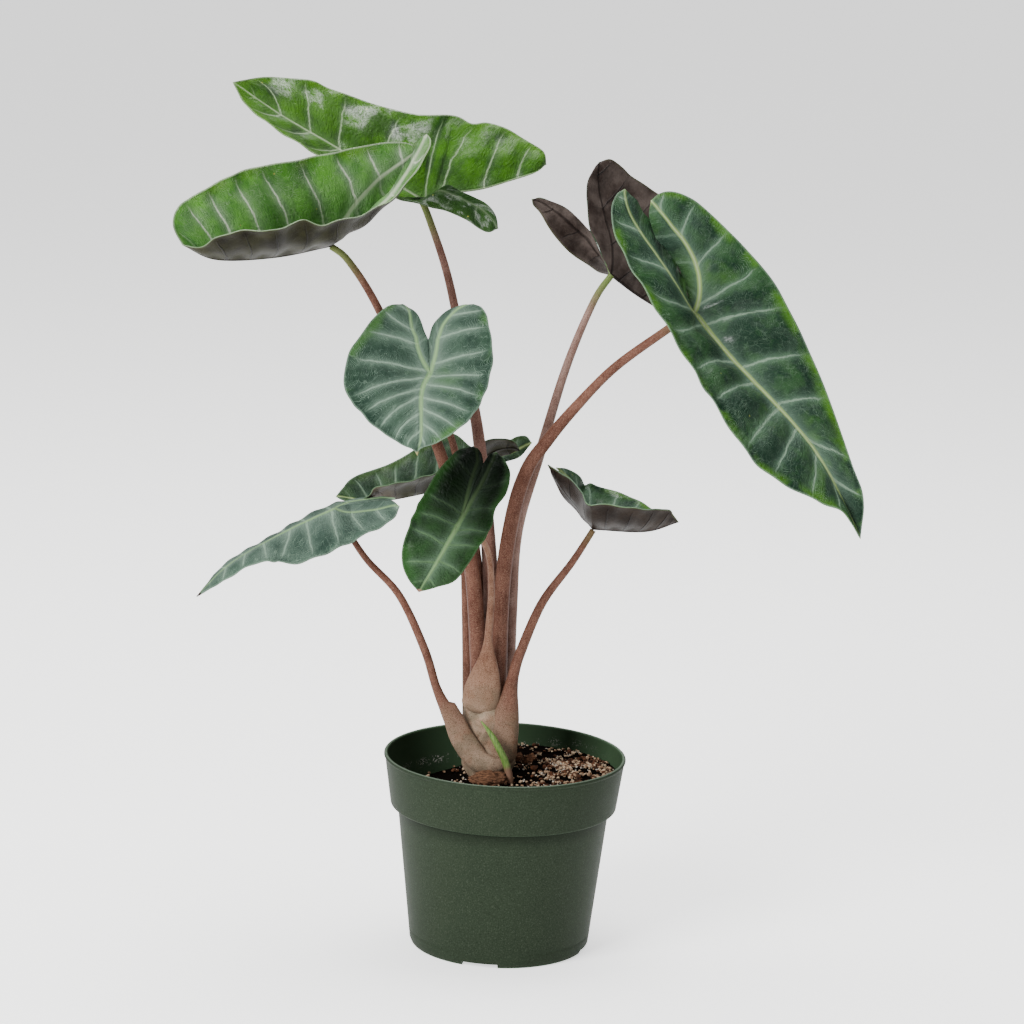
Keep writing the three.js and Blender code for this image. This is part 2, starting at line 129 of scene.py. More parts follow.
class Finish:
    """A material on one principled shader, whose constants are set on the shader itself."""

    def __init__(self, name, **constants):
        self.material = bpy.data.materials.new(name)
        self.material.use_nodes = True
        self.tree = self.material.node_tree
        self.shader = self.tree.nodes["Principled BSDF"]
        for key, value in constants.items():
            self.shader.inputs[key.replace("_", " ")].default_value = value

    def plug(self, socket, value):
        if isinstance(value, Wire):
            self.tree.links.new(value.socket, socket)
        else:
            socket.default_value = value

    def node(self, kind, settings=None, sockets=None, output=0):
        """Adds a node: its settings first, then the values or links of its sockets by name or number."""
        made = self.tree.nodes.new(kind)
        for key, value in (settings or {}).items():
            setattr(made, key, value)
        for key, value in (sockets or {}).items():
            self.plug(made.inputs[key], value)
        return Wire(self, made.outputs[output])

    def math(self, operation, *values):
        return self.node("ShaderNodeMath", {"operation": operation}, dict(enumerate(values)))

    def place(self):
        return self.node("ShaderNodeTexCoord", output="Object")

    def attribute(self, name):
        return self.node("ShaderNodeAttribute", {"attribute_name": name}, output="Vector")

    def parts(self, vector):
        split = self.node("ShaderNodeSeparateXYZ", sockets={0: vector})
        return [Wire(self, socket) for socket in split.socket.node.outputs]

    def stretched(self, vector, stretch):
        return self.node("ShaderNodeVectorMath", {"operation": "MULTIPLY"}, {0: vector, 1: stretch})

    def noise(self, size, detail=4, rough=0.6, stretch=(1, 1, 1)):
        """Cloudy noise from 0 to 1 whose blots are about this many millimetres wide."""
        return self.node("ShaderNodeTexNoise", sockets={
            "Vector": self.stretched(self.place(), stretch), "Scale": 1 / (size * MM), "Detail": detail,
            "Roughness": rough})

    def noise_on(self, vector, scale, detail, output=0):
        sockets = {"Vector": vector, "Scale": scale, "Detail": detail}
        return self.node("ShaderNodeTexNoise", sockets=sockets, output=output)

    def cells(self, scale, feature="F1", vector=None):
        return self.node("ShaderNodeTexVoronoi", {"feature": feature},
                         {"Vector": vector or self.place(), "Scale": scale})

    def mix(self, share, *colours):
        """Mixes two colours, each a wire or a (red, green, blue) as it looks in this studio's light."""
        first, second = [tone if isinstance(tone, Wire) else colour(*tone) for tone in colours]
        sockets = {0: share, 6: first, 7: second}
        return self.node("ShaderNodeMix", {"data_type": "RGBA"}, sockets, output=2)

    def coats(self, skin, *coats):
        """Lays coats over a skin in turn, each given by the share that it covers and its colour."""
        for share, tone in coats:
            skin = self.mix(share, skin, tone)
        return skin

    def feed(self, **wires):
        for key, value in wires.items():
            self.plug(self.shader.inputs[key.replace("_", " ")], value)

    def bump(self, height, depth):
        """Relief: height runs from 0 to 1, and depth is what 1 stands for in millimetres."""
        self.feed(Normal=self.node("ShaderNodeBump", sockets={"Height": height, "Distance": depth * MM}))


def colour(red, green, blue):
    """A skin colour from how it looks in this studio's light, where a screen shows 0 to 255."""
    return tuple((value / 255) ** 2.2 / STUDIO_LIGHT for value in (red, green, blue)) + (1,)


def mesh_from(shape, name):
    """Ends a bmesh as a mesh."""
    mesh = bpy.data.meshes.new(name)
    shape.to_mesh(mesh)
    shape.free()
    return mesh


floor_shape = bmesh.new()
bmesh.ops.create_grid(floor_shape, x_segments=1, y_segments=1, size=FLOOR_SIZE * MM)
studio_floor = added("studio_floor", mesh_from(floor_shape, "studio_floor"))
floor_finish = Finish("studio_floor", Roughness=0.9, Base_Color=(0.9, 0.9, 0.89, 1),
                      Emission_Color=(1, 1, 1, 1), Emission_Strength=FLOOR_GLOW)
studio_floor.data.materials.append(floor_finish.material)

world = bpy.data.worlds.new("studio")
bpy.context.scene.world = world
world.use_nodes = True
world.node_tree.nodes["Background"].inputs[0].default_value = (1, 1, 1, 1)
world.node_tree.nodes["Background"].inputs[1].default_value = WORLD_LIGHT
for light_name, (place, width, power) in LIGHTS.items():
    light_data = bpy.data.lights.new(light_name, "AREA")
    light_data.size = width
    light_data.energy = power
    light = added(light_name, light_data)
    light.location = Vector(place) * MM
    light.rotation_euler = (Vector(LIGHTS_AIM) * MM - light.location).to_track_quat("-Z", "Y").to_euler()

# Pot: one thin moulded shell of dark green plastic with a rolled rim, a deep collar, a tapered body and
# a foot ring. Holes in its floor and notches in its foot let water out.
POT_HEIGHT = 133.5
RIM_RADIUS = 82.5
COLLAR_TOP_RADIUS = 81.7
COLLAR_FOOT_RADIUS = 77.2
COLLAR_FOOT_HEIGHT = 98
BODY_TOP_RADIUS = 72
BODY_FOOT_RADIUS = 62
BODY_FOOT_HEIGHT = 8
FOOT_RADIUS = 59.9
WALL = 1.6
FLOOR_HEIGHT = 4
RIM_HEIGHT = 4
POT_SIDES = 180
DRAIN_RADIUS = 4.5
DRAIN_CIRCLE_RADIUS = 40
DRAIN_COUNT = 6
NOTCH_COUNT = 4
NOTCH_WIDTH = 25
NOTCH_HEIGHT = 3
NOTCH_DEPTH = 14
NOTCH_FRONT_ANGLE = math.radians(-102)
CUTTER_LENGTH = 20
SALT_LEFT_HEIGHT = 110.5
SALT_RISE = 14


def piece_from(shape, name, finishes, slot, nodes=()):
    """Ends a bmesh as a named, smooth piece that rides on the plant's one body."""
    mesh = mesh_from(shape, name)
    for finish in finishes:
        mesh.materials.append(finish.material)
    piece = added(name, mesh)
    mesh.shade_smooth()
    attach(piece, "root")
    if nodes:
        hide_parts(*nodes)
    return piece


def closed_up(shape):
    """Merges a bmesh's doubled vertices and turns its faces outwards."""
    bmesh.ops.remove_doubles(shape, verts=shape.verts[:], dist=1e-6)
    bmesh.ops.recalc_face_normals(shape, faces=shape.faces[:])
    return shape


def turned(profile, sides):
    """A profile of (radius, height) points, with both ends on the pot's axis, turned round it."""
    shape = bmesh.new()
    points = [shape.verts.new((radius * MM, 0, height * MM)) for radius, height in profile]
    edges = [shape.edges.new(pair) for pair in zip(points, points[1:])]
    bmesh.ops.spin(shape, geom=points + edges, axis=(0, 0, 1), cent=(0, 0, 0), steps=sides,
                   angle=2 * math.pi, use_merge=True)
    return closed_up(shape)


def arc(centre, radius, start, end, steps):
    """Points round part of a circle, its angles in degrees."""
    angles = [math.radians(start + (end - start) * i / steps) for i in range(steps + 1)]
    return [(centre[0] + radius * math.cos(a), centre[1] + radius * math.sin(a)) for a in angles]


def body_inside(z):
    """Radius of the inner face of the pot's body at a height."""
    lean = (BODY_TOP_RADIUS - BODY_FOOT_RADIUS) / (COLLAR_FOOT_HEIGHT - BODY_FOOT_HEIGHT)
    return (z - BODY_FOOT_HEIGHT) * lean + (BODY_FOOT_RADIUS - WALL)


def collar_inside(z):
    """Radius of the inner face of the pot's collar at a height."""
    lean = (COLLAR_TOP_RADIUS - COLLAR_FOOT_RADIUS) / (POT_HEIGHT - RIM_HEIGHT - COLLAR_FOOT_HEIGHT)
    return (z - COLLAR_FOOT_HEIGHT) * lean + (COLLAR_FOOT_RADIUS - WALL)


pot_profile = [
    (0, FLOOR_HEIGHT), (FOOT_RADIUS - 5.5, FLOOR_HEIGHT),
    *arc((FOOT_RADIUS - 4.2, 1.0), 1.0, 180, 270, 3),
    *arc((FOOT_RADIUS - 0.9, 1.6), 1.6, 270, 335, 4),
    (BODY_FOOT_RADIUS - 0.5, 3.4), (BODY_FOOT_RADIUS, BODY_FOOT_HEIGHT), (BODY_FOOT_RADIUS + 0.2, 9.2),
    (BODY_FOOT_RADIUS + 0.05, 9.8), (BODY_FOOT_RADIUS + 0.3, 10.4),
    (BODY_TOP_RADIUS, COLLAR_FOOT_HEIGHT - 2.2), (BODY_TOP_RADIUS + 0.4, COLLAR_FOOT_HEIGHT - 1.1),
    (BODY_TOP_RADIUS + 1.6, COLLAR_FOOT_HEIGHT - 0.6),
    *arc((COLLAR_FOOT_RADIUS - 1.9, COLLAR_FOOT_HEIGHT + 1.3), 1.9, 270, 355, 6),
    (COLLAR_TOP_RADIUS - 0.2, POT_HEIGHT - 4.2),
    *arc((RIM_RADIUS - 1.4, POT_HEIGHT - 1.6), 1.4, 290, 360, 4),
    *arc((RIM_RADIUS - 1.3, POT_HEIGHT - 1.3), 1.3, 10, 180, 8),
    (COLLAR_TOP_RADIUS - WALL, POT_HEIGHT - RIM_HEIGHT),
    (COLLAR_FOOT_RADIUS - WALL, COLLAR_FOOT_HEIGHT + 1.5),
    (BODY_TOP_RADIUS - WALL, COLLAR_FOOT_HEIGHT + 0.3), (BODY_FOOT_RADIUS - WALL, BODY_FOOT_HEIGHT),
    *arc((BODY_FOOT_RADIUS - WALL - 2.5, FLOOR_HEIGHT + WALL + 2.5), 2.5, 0, -90, 4),
    (0, FLOOR_HEIGHT + WALL),
]
pot_shape = turned(pot_profile, POT_SIDES)

pot_cutters = bmesh.new()
for i in range(DRAIN_COUNT):
    turn = Matrix.Rotation((i + 0.5) * 2 * math.pi / DRAIN_COUNT, 3, "Z")
    drill = Matrix.Translation(turn @ Vector((DRAIN_CIRCLE_RADIUS, 0, FLOOR_HEIGHT)) * MM)
    bmesh.ops.create_cone(pot_cutters, cap_ends=True, segments=32, radius1=DRAIN_RADIUS * MM,
                          radius2=DRAIN_RADIUS * MM, depth=CUTTER_LENGTH * MM, matrix=drill)
for i in range(NOTCH_COUNT):
    turn = Matrix.Rotation(NOTCH_FRONT_ANGLE + i * 2 * math.pi / NOTCH_COUNT, 4, "Z")
    place = Matrix.Translation((FOOT_RADIUS * MM, 0, 0))
    size = Matrix.Diagonal((NOTCH_DEPTH * MM, NOTCH_WIDTH * MM, 2 * NOTCH_HEIGHT * MM, 1))
    bmesh.ops.create_cube(pot_cutters, size=1, matrix=turn @ place @ size)
cutter = added("pot_cutters", mesh_from(pot_cutters, "pot_cutters"))

# The plastic is fine-grained and satin and paler along the top of the rim, and watering has left a broken
# white line of salts inside, just above the soil. A painted shadow darkens the body under the collar, and
# the inner face is painted lighter as painted light.
pot_finish = Finish("pot_plastic", Specular_IOR_Level=0.045)
pot_x, pot_y, pot_z = [length / MM for length in pot_finish.parts(pot_finish.place())]
pot_radius = (pot_x * pot_x + pot_y * pot_y) ** 0.5
# The top of the rim is paler.
pale_rim_top = pot_z.step(POT_HEIGHT - 0.6, POT_HEIGHT - 0.1)
in_collar = pot_z.step(COLLAR_FOOT_HEIGHT - 0.8, COLLAR_FOOT_HEIGHT - 0.6)
inner_face = body_inside(pot_z) * (1 - in_collar) + collar_inside(pot_z) * in_collar
inside = (pot_radius - inner_face - WALL / 2).step(0.2, -0.2)
# Painted shadow: a darker band on the body just below the collar, where the collar shades it.
painted_collar_shadow = pot_z.step(COLLAR_FOOT_HEIGHT - 14, COLLAR_FOOT_HEIGHT - 1)
painted_collar_shadow = painted_collar_shadow * pot_z.step(COLLAR_FOOT_HEIGHT, COLLAR_FOOT_HEIGHT - 1)
grain = pot_finish.noise(0.9, detail=3)
clouds = pot_finish.noise(30, detail=3)
salt_line = pot_x.step(-25, 45) * SALT_RISE + SALT_LEFT_HEIGHT
salt_band = abs(pot_z - salt_line + (clouds - 0.5) * 3).step(4.5, 0.5)
salt_specks = pot_finish.noise(1.2, detail=1).step(0.54, 0.64)
salt_specks = salt_specks * pot_finish.noise(8, detail=2).step(0.42, 0.58)
salt = salt_band * inside * salt_specks * pot_x.step(80, -10)
green = pot_finish.coats(
    pot_finish.mix(clouds, (55, 67, 52), (65, 77, 60)),
    (grain.step(0.52, 0.7) * 0.5, (90, 101, 84)),
    (grain.step(0.48, 0.3) * 0.5, (36, 46, 34)),
    (painted_collar_shadow * 0.55, (30, 38, 28)),
    # Painted light: the inner face is a lighter green than the outside, standing in for the light that
    # reaches inside the pot.
    (inside * 0.9, (82, 108, 80)),
    (salt, (240, 236, 228)),
    (pale_rim_top * 0.8, (142, 160, 140)))
pot_finish.feed(Base_Color=green, Roughness=clouds * 0.12 + 0.5 + salt * 0.3)
pot_finish.bump(grain + pot_finish.noise(0.35) * 0.6, 0.06)

pot = piece_from(pot_shape, "pot_shell", [pot_finish], "pot", ["pot"])
cut = pot.modifiers.new("cut", "BOOLEAN")
cut.operation = "DIFFERENCE"
cut.object = cutter
cut.solver = "EXACT"
cut_mesh = bpy.data.meshes.new_from_object(pot.evaluated_get(bpy.context.evaluated_depsgraph_get()))
pot.modifiers.clear()
pot.data = cut_mesh
pot.data.shade_smooth()
pot.data.set_sharp_from_angle(angle=math.radians(40))
bpy.data.objects.remove(cutter)

# Soil: dark moist peat, sunk at the left and heaped at the right, strewn with grains of tan bark and
# white perlite that lie thickest on the heap.
SOIL_LEFT_HEIGHT = 102
SOIL_RIGHT_HEIGHT = 119
SOIL_SLOPE = (-42, 10)
SOIL_HEAP = 4
SOIL_HEAP_CENTRE = (44, 4)
SOIL_HEAP_WIDTH = 22
SOIL_RADIUS = 79
SOIL_EDGE_RADIUS = 76
SOIL_FOOT_HEIGHT = 98.8
SOIL_FOOT_SHARE = 0.94
SOIL_RINGS = 90
SOIL_SPOKES = 240


def smoothstep(x, low, high):
    t = np.clip((x - low) / (high - low), 0, 1)
    return t * t * (3 - 2 * t)


def soil_height(x, y):
    """Height of the soil in millimetres, without its crumbs."""
    slope = smoothstep(x - 0.4 * np.minimum(y, 0), *SOIL_SLOPE)
    from_heap = np.hypot(x - SOIL_HEAP_CENTRE[0], y - SOIL_HEAP_CENTRE[1])
    heap = SOIL_HEAP * np.exp(-((from_heap / SOIL_HEAP_WIDTH) ** 2))
    lumps = np.sin(x / 7) * np.cos(y / 9)
    return SOIL_LEFT_HEIGHT + (SOIL_RIGHT_HEIGHT - SOIL_LEFT_HEIGHT) * slope + heap + lumps


def grid_shape(columns, rows, place):
    """A grid bent into a surface: place gives x, y and z in millimetres for shares across and along."""
    shape = bmesh.new()
    bmesh.ops.create_grid(shape, x_segments=columns, y_segments=rows, size=0.5)
    across = np.array([vert.co.x for vert in shape.verts]) + 0.5
    along = np.array([vert.co.y for vert in shape.verts]) + 0.5
    spots = place(across, along)
    for vert, spot in zip(shape.verts, spots):
        vert.co = Vector(spot) * MM
    return shape, along


def crumbs(x, y):
    """Small clods on the soil, in millimetres."""
    spots = [Vector((a / 5, b / 5, 3.1)) for a, b in zip(x, y)]
    coarse = np.array([noise.noise(spot) for spot in spots])
    fine = np.array([noise.noise(spot * 2.7) for spot in spots])
    return 1.3 * coarse + 0.9 * fine


def soil_place(across, along):
    """Spots round and out from the pot's axis, kept just inside the collar's wall."""
    angle = across * 2 * math.pi
    reach = np.maximum(along, 1e-4) ** 0.8
    about = reach * SOIL_EDGE_RADIUS
    edge_height = soil_height(np.cos(angle) * about, np.sin(angle) * about)
    radius = np.minimum(reach * SOIL_RADIUS, collar_inside(edge_height) - 0.4)
    x, y = np.cos(angle) * radius, np.sin(angle) * radius
    return np.stack([x, y, soil_height(x, y) + crumbs(x, y) * (1 - reach ** 6)], 1)


soil_shape, _ = grid_shape(SOIL_SPOKES, SOIL_RINGS, soil_place)
closed_up(soil_shape)
if sum(face.normal.z for face in soil_shape.faces) < 0:
    bmesh.ops.reverse_faces(soil_shape, faces=soil_shape.faces[:])
rim_edges = [edge for edge in soil_shape.edges if edge.is_boundary]
walls = bmesh.ops.extrude_edge_only(soil_shape, edges=rim_edges)
for vert in walls["geom"]:
    if isinstance(vert, bmesh.types.BMVert):
        vert.co.x *= SOIL_FOOT_SHARE
        vert.co.y *= SOIL_FOOT_SHARE
        vert.co.z = SOIL_FOOT_HEIGHT * MM

soil_finish = Finish("soil_peat", Roughness=0.95, Specular_IOR_Level=0.02)
clods = soil_finish.noise(3, detail=8, rough=0.7)
flecks = soil_finish.cells(1 / (1.6 * MM))
peat = soil_finish.mix(clods, (4, 3, 2), (30, 22, 17))
peat = soil_finish.mix(flecks.step(0.2, 0.1) * clods.step(0.57, 0.64), peat, (126, 94, 72))
soil_finish.feed(Base_Color=peat)
soil_finish.bump(clods + flecks * 0.4, 1.1)
piece_from(soil_shape, "soil_surface", [soil_finish], "soil", ["soil"])

# Grains: loose bits of tan and dark bark and of white perlite, strewn round the corm and thickest on the
# heap. Each kind is one piece, given by its share of the count, its least and greatest size and its skin.
GRAIN_COUNT = 2200
GRAIN_SEED = 7
GRAIN_SPREAD = 78
GRAIN_ROUGHNESS = 0.55
CORM_CENTRE = (-11, 8)
CORM_CLEARANCE = 19
COLLAR_CLEARANCE = 1.5


def grain_finish(name, dark, light):
    finish = Finish(name, Roughness=0.85, Specular_IOR_Level=0.1)
    tone = finish.noise(4, detail=1)
    patch = finish.noise(1.2, detail=5)
    pale = tone.step(0.3, 0.7) * 0.7 + patch.step(0.4, 0.62) * 0.3
    finish.feed(Base_Color=finish.mix(pale, dark, light))
    finish.bump(patch, 0.25)
    return finish


GRAINS = {
    "tan_bark_grains": (0.56, 0.7, 1.7, grain_finish("tan_bark", (128, 82, 54), (255, 226, 190))),
    "dark_bark_grains": (0.22, 0.9, 2.4, grain_finish("dark_bark", (26, 18, 14), (122, 78, 54))),
    "perlite_grains": (0.22, 0.4, 1, grain_finish("perlite", (224, 204, 178), (255, 250, 240))),
}
draw = random.Random(GRAIN_SEED)
noise.seed_set(GRAIN_SEED)
for grain_name, (share, least, most, finish) in GRAINS.items():
    grains = bmesh.new()
    made = 0
    while made < GRAIN_COUNT * share:
        x, y = draw.uniform(-GRAIN_SPREAD, GRAIN_SPREAD), draw.uniform(-GRAIN_SPREAD, GRAIN_SPREAD)
        thick = 0.08 + 0.92 * float(smoothstep(x, 19, 39) * (1 - 0.8 * smoothstep(y, 10, 40)))
        thick *= float(smoothstep(noise.noise((x / 8, y / 8, 0.5)), -0.45, 0.25))
        ground = float(soil_height(x, y))
        clear = math.hypot(x - CORM_CENTRE[0], y - CORM_CENTRE[1]) > CORM_CLEARANCE
        in_collar = math.hypot(x, y) <= collar_inside(ground) - COLLAR_CLEARANCE
        if draw.random() > thick or not clear or not in_collar:
            continue
        size = draw.uniform(least, most) * (0.7 + 0.3 * draw.random())
        stretch = Matrix.Diagonal((size * draw.uniform(0.8, 1.6), size, size * draw.uniform(0.5, 0.9), 1))
        turn = Matrix.Rotation(draw.uniform(0, 6.28), 4, "Z")
        lean = Matrix.Rotation(draw.uniform(-0.7, 0.7), 4, "X")
        spot = Matrix.Translation((x, y, ground + 0.3 * size + draw.uniform(-0.3, 1.6)))
        bmesh.ops.create_icosphere(grains, subdivisions=1, radius=1,
                                   matrix=Matrix.Scale(MM, 4) @ spot @ (turn @ lean) @ stretch)
        made += 1
    for vert in grains.verts:
        vert.co += noise.noise_vector(vert.co / (1.1 * MM)) * GRAIN_ROUGHNESS * MM
    grain_piece = piece_from(grains, grain_name, [finish], "bark" if "bark" in grain_name else "soil")
    grain_piece.data.shade_flat()

# Bark: one big weathered chunk, half sunk in the soil in front of the corm, and two crumpled bits beside
# it. Each is a ball drawn out, knobbed and ridged along its fibres, then turned about one axis.
BARK_BITS = [
    ((-10, -27, 122.5), (12, 6, 5.5), 0.2, "Z"),
    ((8.5, 6, 129), (2.7, 2.4, 4), 0.9, "Y"),
    ((16.5, 8, 128), (5, 1.8, 2.8), -0.5, "Y"),
]
bark_shape = bmesh.new()
for spot, size, turn, axis in BARK_BITS:
    bit = bmesh.ops.create_icosphere(bark_shape, subdivisions=5, radius=1)["verts"]
    for vert in bit:
        x, y, z = vert.co
        ridge = abs(noise.noise(Vector((x * 1.5 + spot[0], y * 4, z * 4))))
        knob = 0.94 + 0.12 * math.sin(5 * x + 3 * y) * math.cos(4 * z) + 0.3 * ridge
        vert.co = vert.co * (knob + 0.12 * noise.fractal(vert.co * 3, 0.7, 2, 4))
    placed = Matrix.Scale(MM, 4) @ Matrix.Translation(spot) @ Matrix.Rotation(turn, 4, axis)
    bmesh.ops.transform(bark_shape, verts=bit, matrix=placed @ Matrix.Diagonal((*size, 1)))
bark_finish = Finish("bark", Roughness=0.9, Specular_IOR_Level=0.2)
bark_fibre = bark_finish.noise(1.6, detail=8, rough=0.7, stretch=(0.4, 2, 2))
bark_skin = bark_finish.mix(bark_fibre.step(0.3, 0.66), (56, 34, 24), (188, 134, 100))
bark_finish.feed(Base_Color=bark_skin)
bark_finish.bump(bark_fibre, 1.2)
piece_from(bark_shape, "bark_chunk", [bark_finish], "bark", ["bark"])

# Corm: the short swollen stock that the leaves grow from, papery and tan, ringed by the scars of old
# leaves. Its profile is turned round its own axis, then lumped and creased.
CORM_PROFILE = [(0, 98), (6, 99), (9, 104), (11.5, 110), (15, 116), (18, 123), (18.5, 132), (17.8, 142),
                (17.6, 152), (17.4, 160), (15.5, 166), (10, 170), (0, 171)]
CORM_SIDES = 200
CORM_RINGS = 130


def curve_points(points, shares):
    """Points at shares of the length of a smooth curve through the given points."""
    knots = np.array(points, float)
    knots = np.vstack([2 * knots[0] - knots[1], knots, 2 * knots[-1] - knots[-2]])
    t = np.linspace(0, 1, 60, endpoint=False)[:, None]
    path = [0.5 * (2 * b + (c - a) * t + (2 * a - 5 * b + 4 * c - d) * t ** 2
                   + (3 * b - a - 3 * c + d) * t ** 3)
            for a, b, c, d in zip(knots, knots[1:], knots[2:], knots[3:])]
    path = np.vstack([*path, knots[-2:-1]])
    lengths = np.concatenate([[0], np.cumsum(np.linalg.norm(np.diff(path, axis=0), axis=1))])
    at = np.asarray(shares) * lengths[-1]
    return np.stack([np.interp(at, lengths, path[:, axis]) for axis in range(path.shape[1])], -1)


def corm_place(across, along):
    """Spots on the stock: its profile turned, then lumped, creased and ringed, its right foot lifted."""
    spots = curve_points(CORM_PROFILE, along)
    radius, height = np.maximum(spots[:, 0], 0), spots[:, 1]
    angle = across * 2 * math.pi
    knob = 1 + 0.03 * np.sin(3 * angle + height / 9)
    places = [Vector((math.cos(a) * 1.6, math.sin(a) * 1.6, h / 13)) for a, h in zip(angle, height)]
    lumps = np.array([noise.noise(spot) for spot in places])
    creases = np.array([noise.noise(spot * 0.9 + Vector((4, 1, 7))) for spot in places])
    creases = np.clip(1 - abs(creases) / 0.12, 0, 1) ** 1.5
    rings = 0.12 * np.sin(height / 1.3 + 0.8 * np.sin(angle) + 3 * lumps)
    relief = (2.2 * lumps - 0.8 * creases + rings) * smoothstep(radius, 3, 10)
    radius = np.maximum(radius * knob + relief, 0)
    x, y = radius * np.cos(angle), radius * np.sin(angle)
    lifted = height + 5 * smoothstep(x, 2, 16) * smoothstep(height, 140, 112)
    return np.stack([CORM_CENTRE[0] + x, CORM_CENTRE[1] + y, lifted], 1)


corm_shape, _ = grid_shape(CORM_SIDES, CORM_RINGS, corm_place)
closed_up(corm_shape)


def stalk_finish(name, young, old, tip_green, papery_top=215):
    """Petiole skin: rose-brown and faintly streaked, tan and papery at the foot, green near the blade."""
    finish = Finish(name, Specular_IOR_Level=0.07)
    along = finish.parts(finish.attribute("stalk"))[0]
    height = finish.parts(finish.place())[2] / MM
    streaks = finish.noise(0.9, stretch=(1, 1, 0.1))
    speckle = finish.noise(0.5, detail=3)
    blots = finish.noise(14, detail=5)
    papery = (height + (blots - 0.5) * 60).step(papery_top, papery_top - 55)
    paper = finish.coats(
        finish.mix(blots.step(0.3, 0.7), (184, 144, 116), (246, 216, 184)),
        (finish.noise(11).step(0.44, 0.62) * 0.65, (170, 160, 134)))
    skin = finish.coats(
        finish.mix(blots.step(0.3, 0.7) * 0.7 + streaks.step(0.35, 0.65) * 0.3, young, old),
        (papery * 0.85, paper),
        (speckle.step(0.52, 0.66) * 0.4, (214, 176, 152)),
        (speckle.step(0.48, 0.36) * 0.65, (66, 38, 28)),
        (along.step(0.9, 0.985) * tip_green, (138, 160, 92)))
    finish.feed(Base_Color=skin, Roughness=papery * 0.2 + streaks * 0.15 + 0.42)
    finish.bump(streaks * 0.5 + speckle * 0.3, 0.1)
    return finish


corm_finish = stalk_finish("corm_skin", (132, 110, 94), (158, 134, 116), 0)
piece_from(corm_shape, "corm_stock", [corm_finish], "corm", ["corm"])

# Petioles: smooth round leaf stalks, rose-brown and firm, each a tube bent along its path. Most rise out
# of the stock, and three sheathe it with a wide, flattened foot.
STALK_SIDES = 40
STALK_STEPS = 90
UNDER_BLADE = 1.6
ROSE = ((108, 66, 52), (158, 110, 92))
# Mauve and pink are paler copies of the rose skin: partly the stalks' own paler tone, partly a painted
# sheen where they catch the light.
MAUVE_PAINTED_SHEEN = ((126, 86, 74), (184, 140, 127))
PINK_PAINTED_SHEEN = ((150, 111, 99), (198, 162, 149))
TAWNY = ((132, 88, 68), (188, 144, 118))


def stalk_shape(path, radii, sheath=(0, 0, 1, 0.05), ear=(0, 0)):
    """A closed tube bent along a path, thinner towards the blade, wide and flat at a sheathing foot.
    A sheath is half its width and depth, and the shares of the stalk that it and its round end take.
    An ear is how far up, and how many millimetres wide, one edge of the sheath ends in a flap."""
    sheath_width, sheath_depth, sheath_share, end_share = sheath
    length = np.linalg.norm(np.diff(np.array(path, float), axis=0), axis=1).sum()
    shares = np.linspace(0, 1, STALK_STEPS + 1)
    centres = curve_points(path, shares * (1 - UNDER_BLADE / length))
    ahead = np.gradient(centres, axis=0)
    ahead /= np.linalg.norm(ahead, axis=1)[:, None]
    side = np.cross(ahead, (0, 1, 0))
    side /= np.linalg.norm(side, axis=1)[:, None]
    front = np.cross(side, ahead)
    radius = np.interp(shares, np.linspace(0, 1, len(radii)), radii)
    flare = smoothstep(1 - shares / sheath_share, 0, 0.75)
    round_end = np.sqrt(1 - np.clip(1 - shares / end_share, 0, 0.99) ** 2)
    wide = (radius + (np.maximum(radius, sheath_width) - radius) * flare) * round_end
    deep = (radius + (np.maximum(radius, sheath_depth) - radius) * flare) * round_end

    def place(across, along):
        row = np.rint(along * STALK_STEPS).astype(int)
        angle = across[:, None] * 2 * math.pi
        groove = 1 - 0.06 * np.exp(-((across[:, None] - 0.25) / 0.05) ** 2)
        flap = ear[1] * smoothstep(shares, ear[0], ear[0] - 0.012) * smoothstep(shares, 0.08, ear[0])
        reach = wide[row] + flap[row] * np.maximum(-np.cos(angle[:, 0]), 0)
        out = np.cos(angle) * side[row] * reach[:, None] + np.sin(angle) * front[row] * deep[row][:, None]
        return centres[row] + out * groove

    shape, along = grid_shape(STALK_SIDES, STALK_STEPS, place)
    layer = shape.verts.layers.float_vector.new("stalk")
    for vert, share in zip(shape.verts, along):
        vert[layer] = (share, 0, 0)
    bmesh.ops.remove_doubles(shape, verts=shape.verts[:], dist=1e-6)
    bmesh.ops.holes_fill(shape, edges=[edge for edge in shape.edges if edge.is_boundary], sides=0)
    bmesh.ops.recalc_face_normals(shape, faces=shape.faces[:])
    return shape


# Blades: thin, firm and arrow-shaped, each of two halves that meet at the midrib. They are glossy green
# above, with pale veins and a silvery net, and dull purple-brown below.
BRIGHT = dict(
    slot="blade_bright", dark=(12, 52, 0), light=(78, 136, 12), silver=(150, 192, 132),
    rib=(200, 226, 176), vein=(190, 218, 170), margin=(96, 154, 34), core=(24, 70, 16), core_share=0.15,
    dark_tip=0, wash=0.3, shine=0.9, rib_width=0.9, haze_width=2, painted_rib_highlight=0.4, net=0.16, cell_shade_paint=0.4, flecks=1)
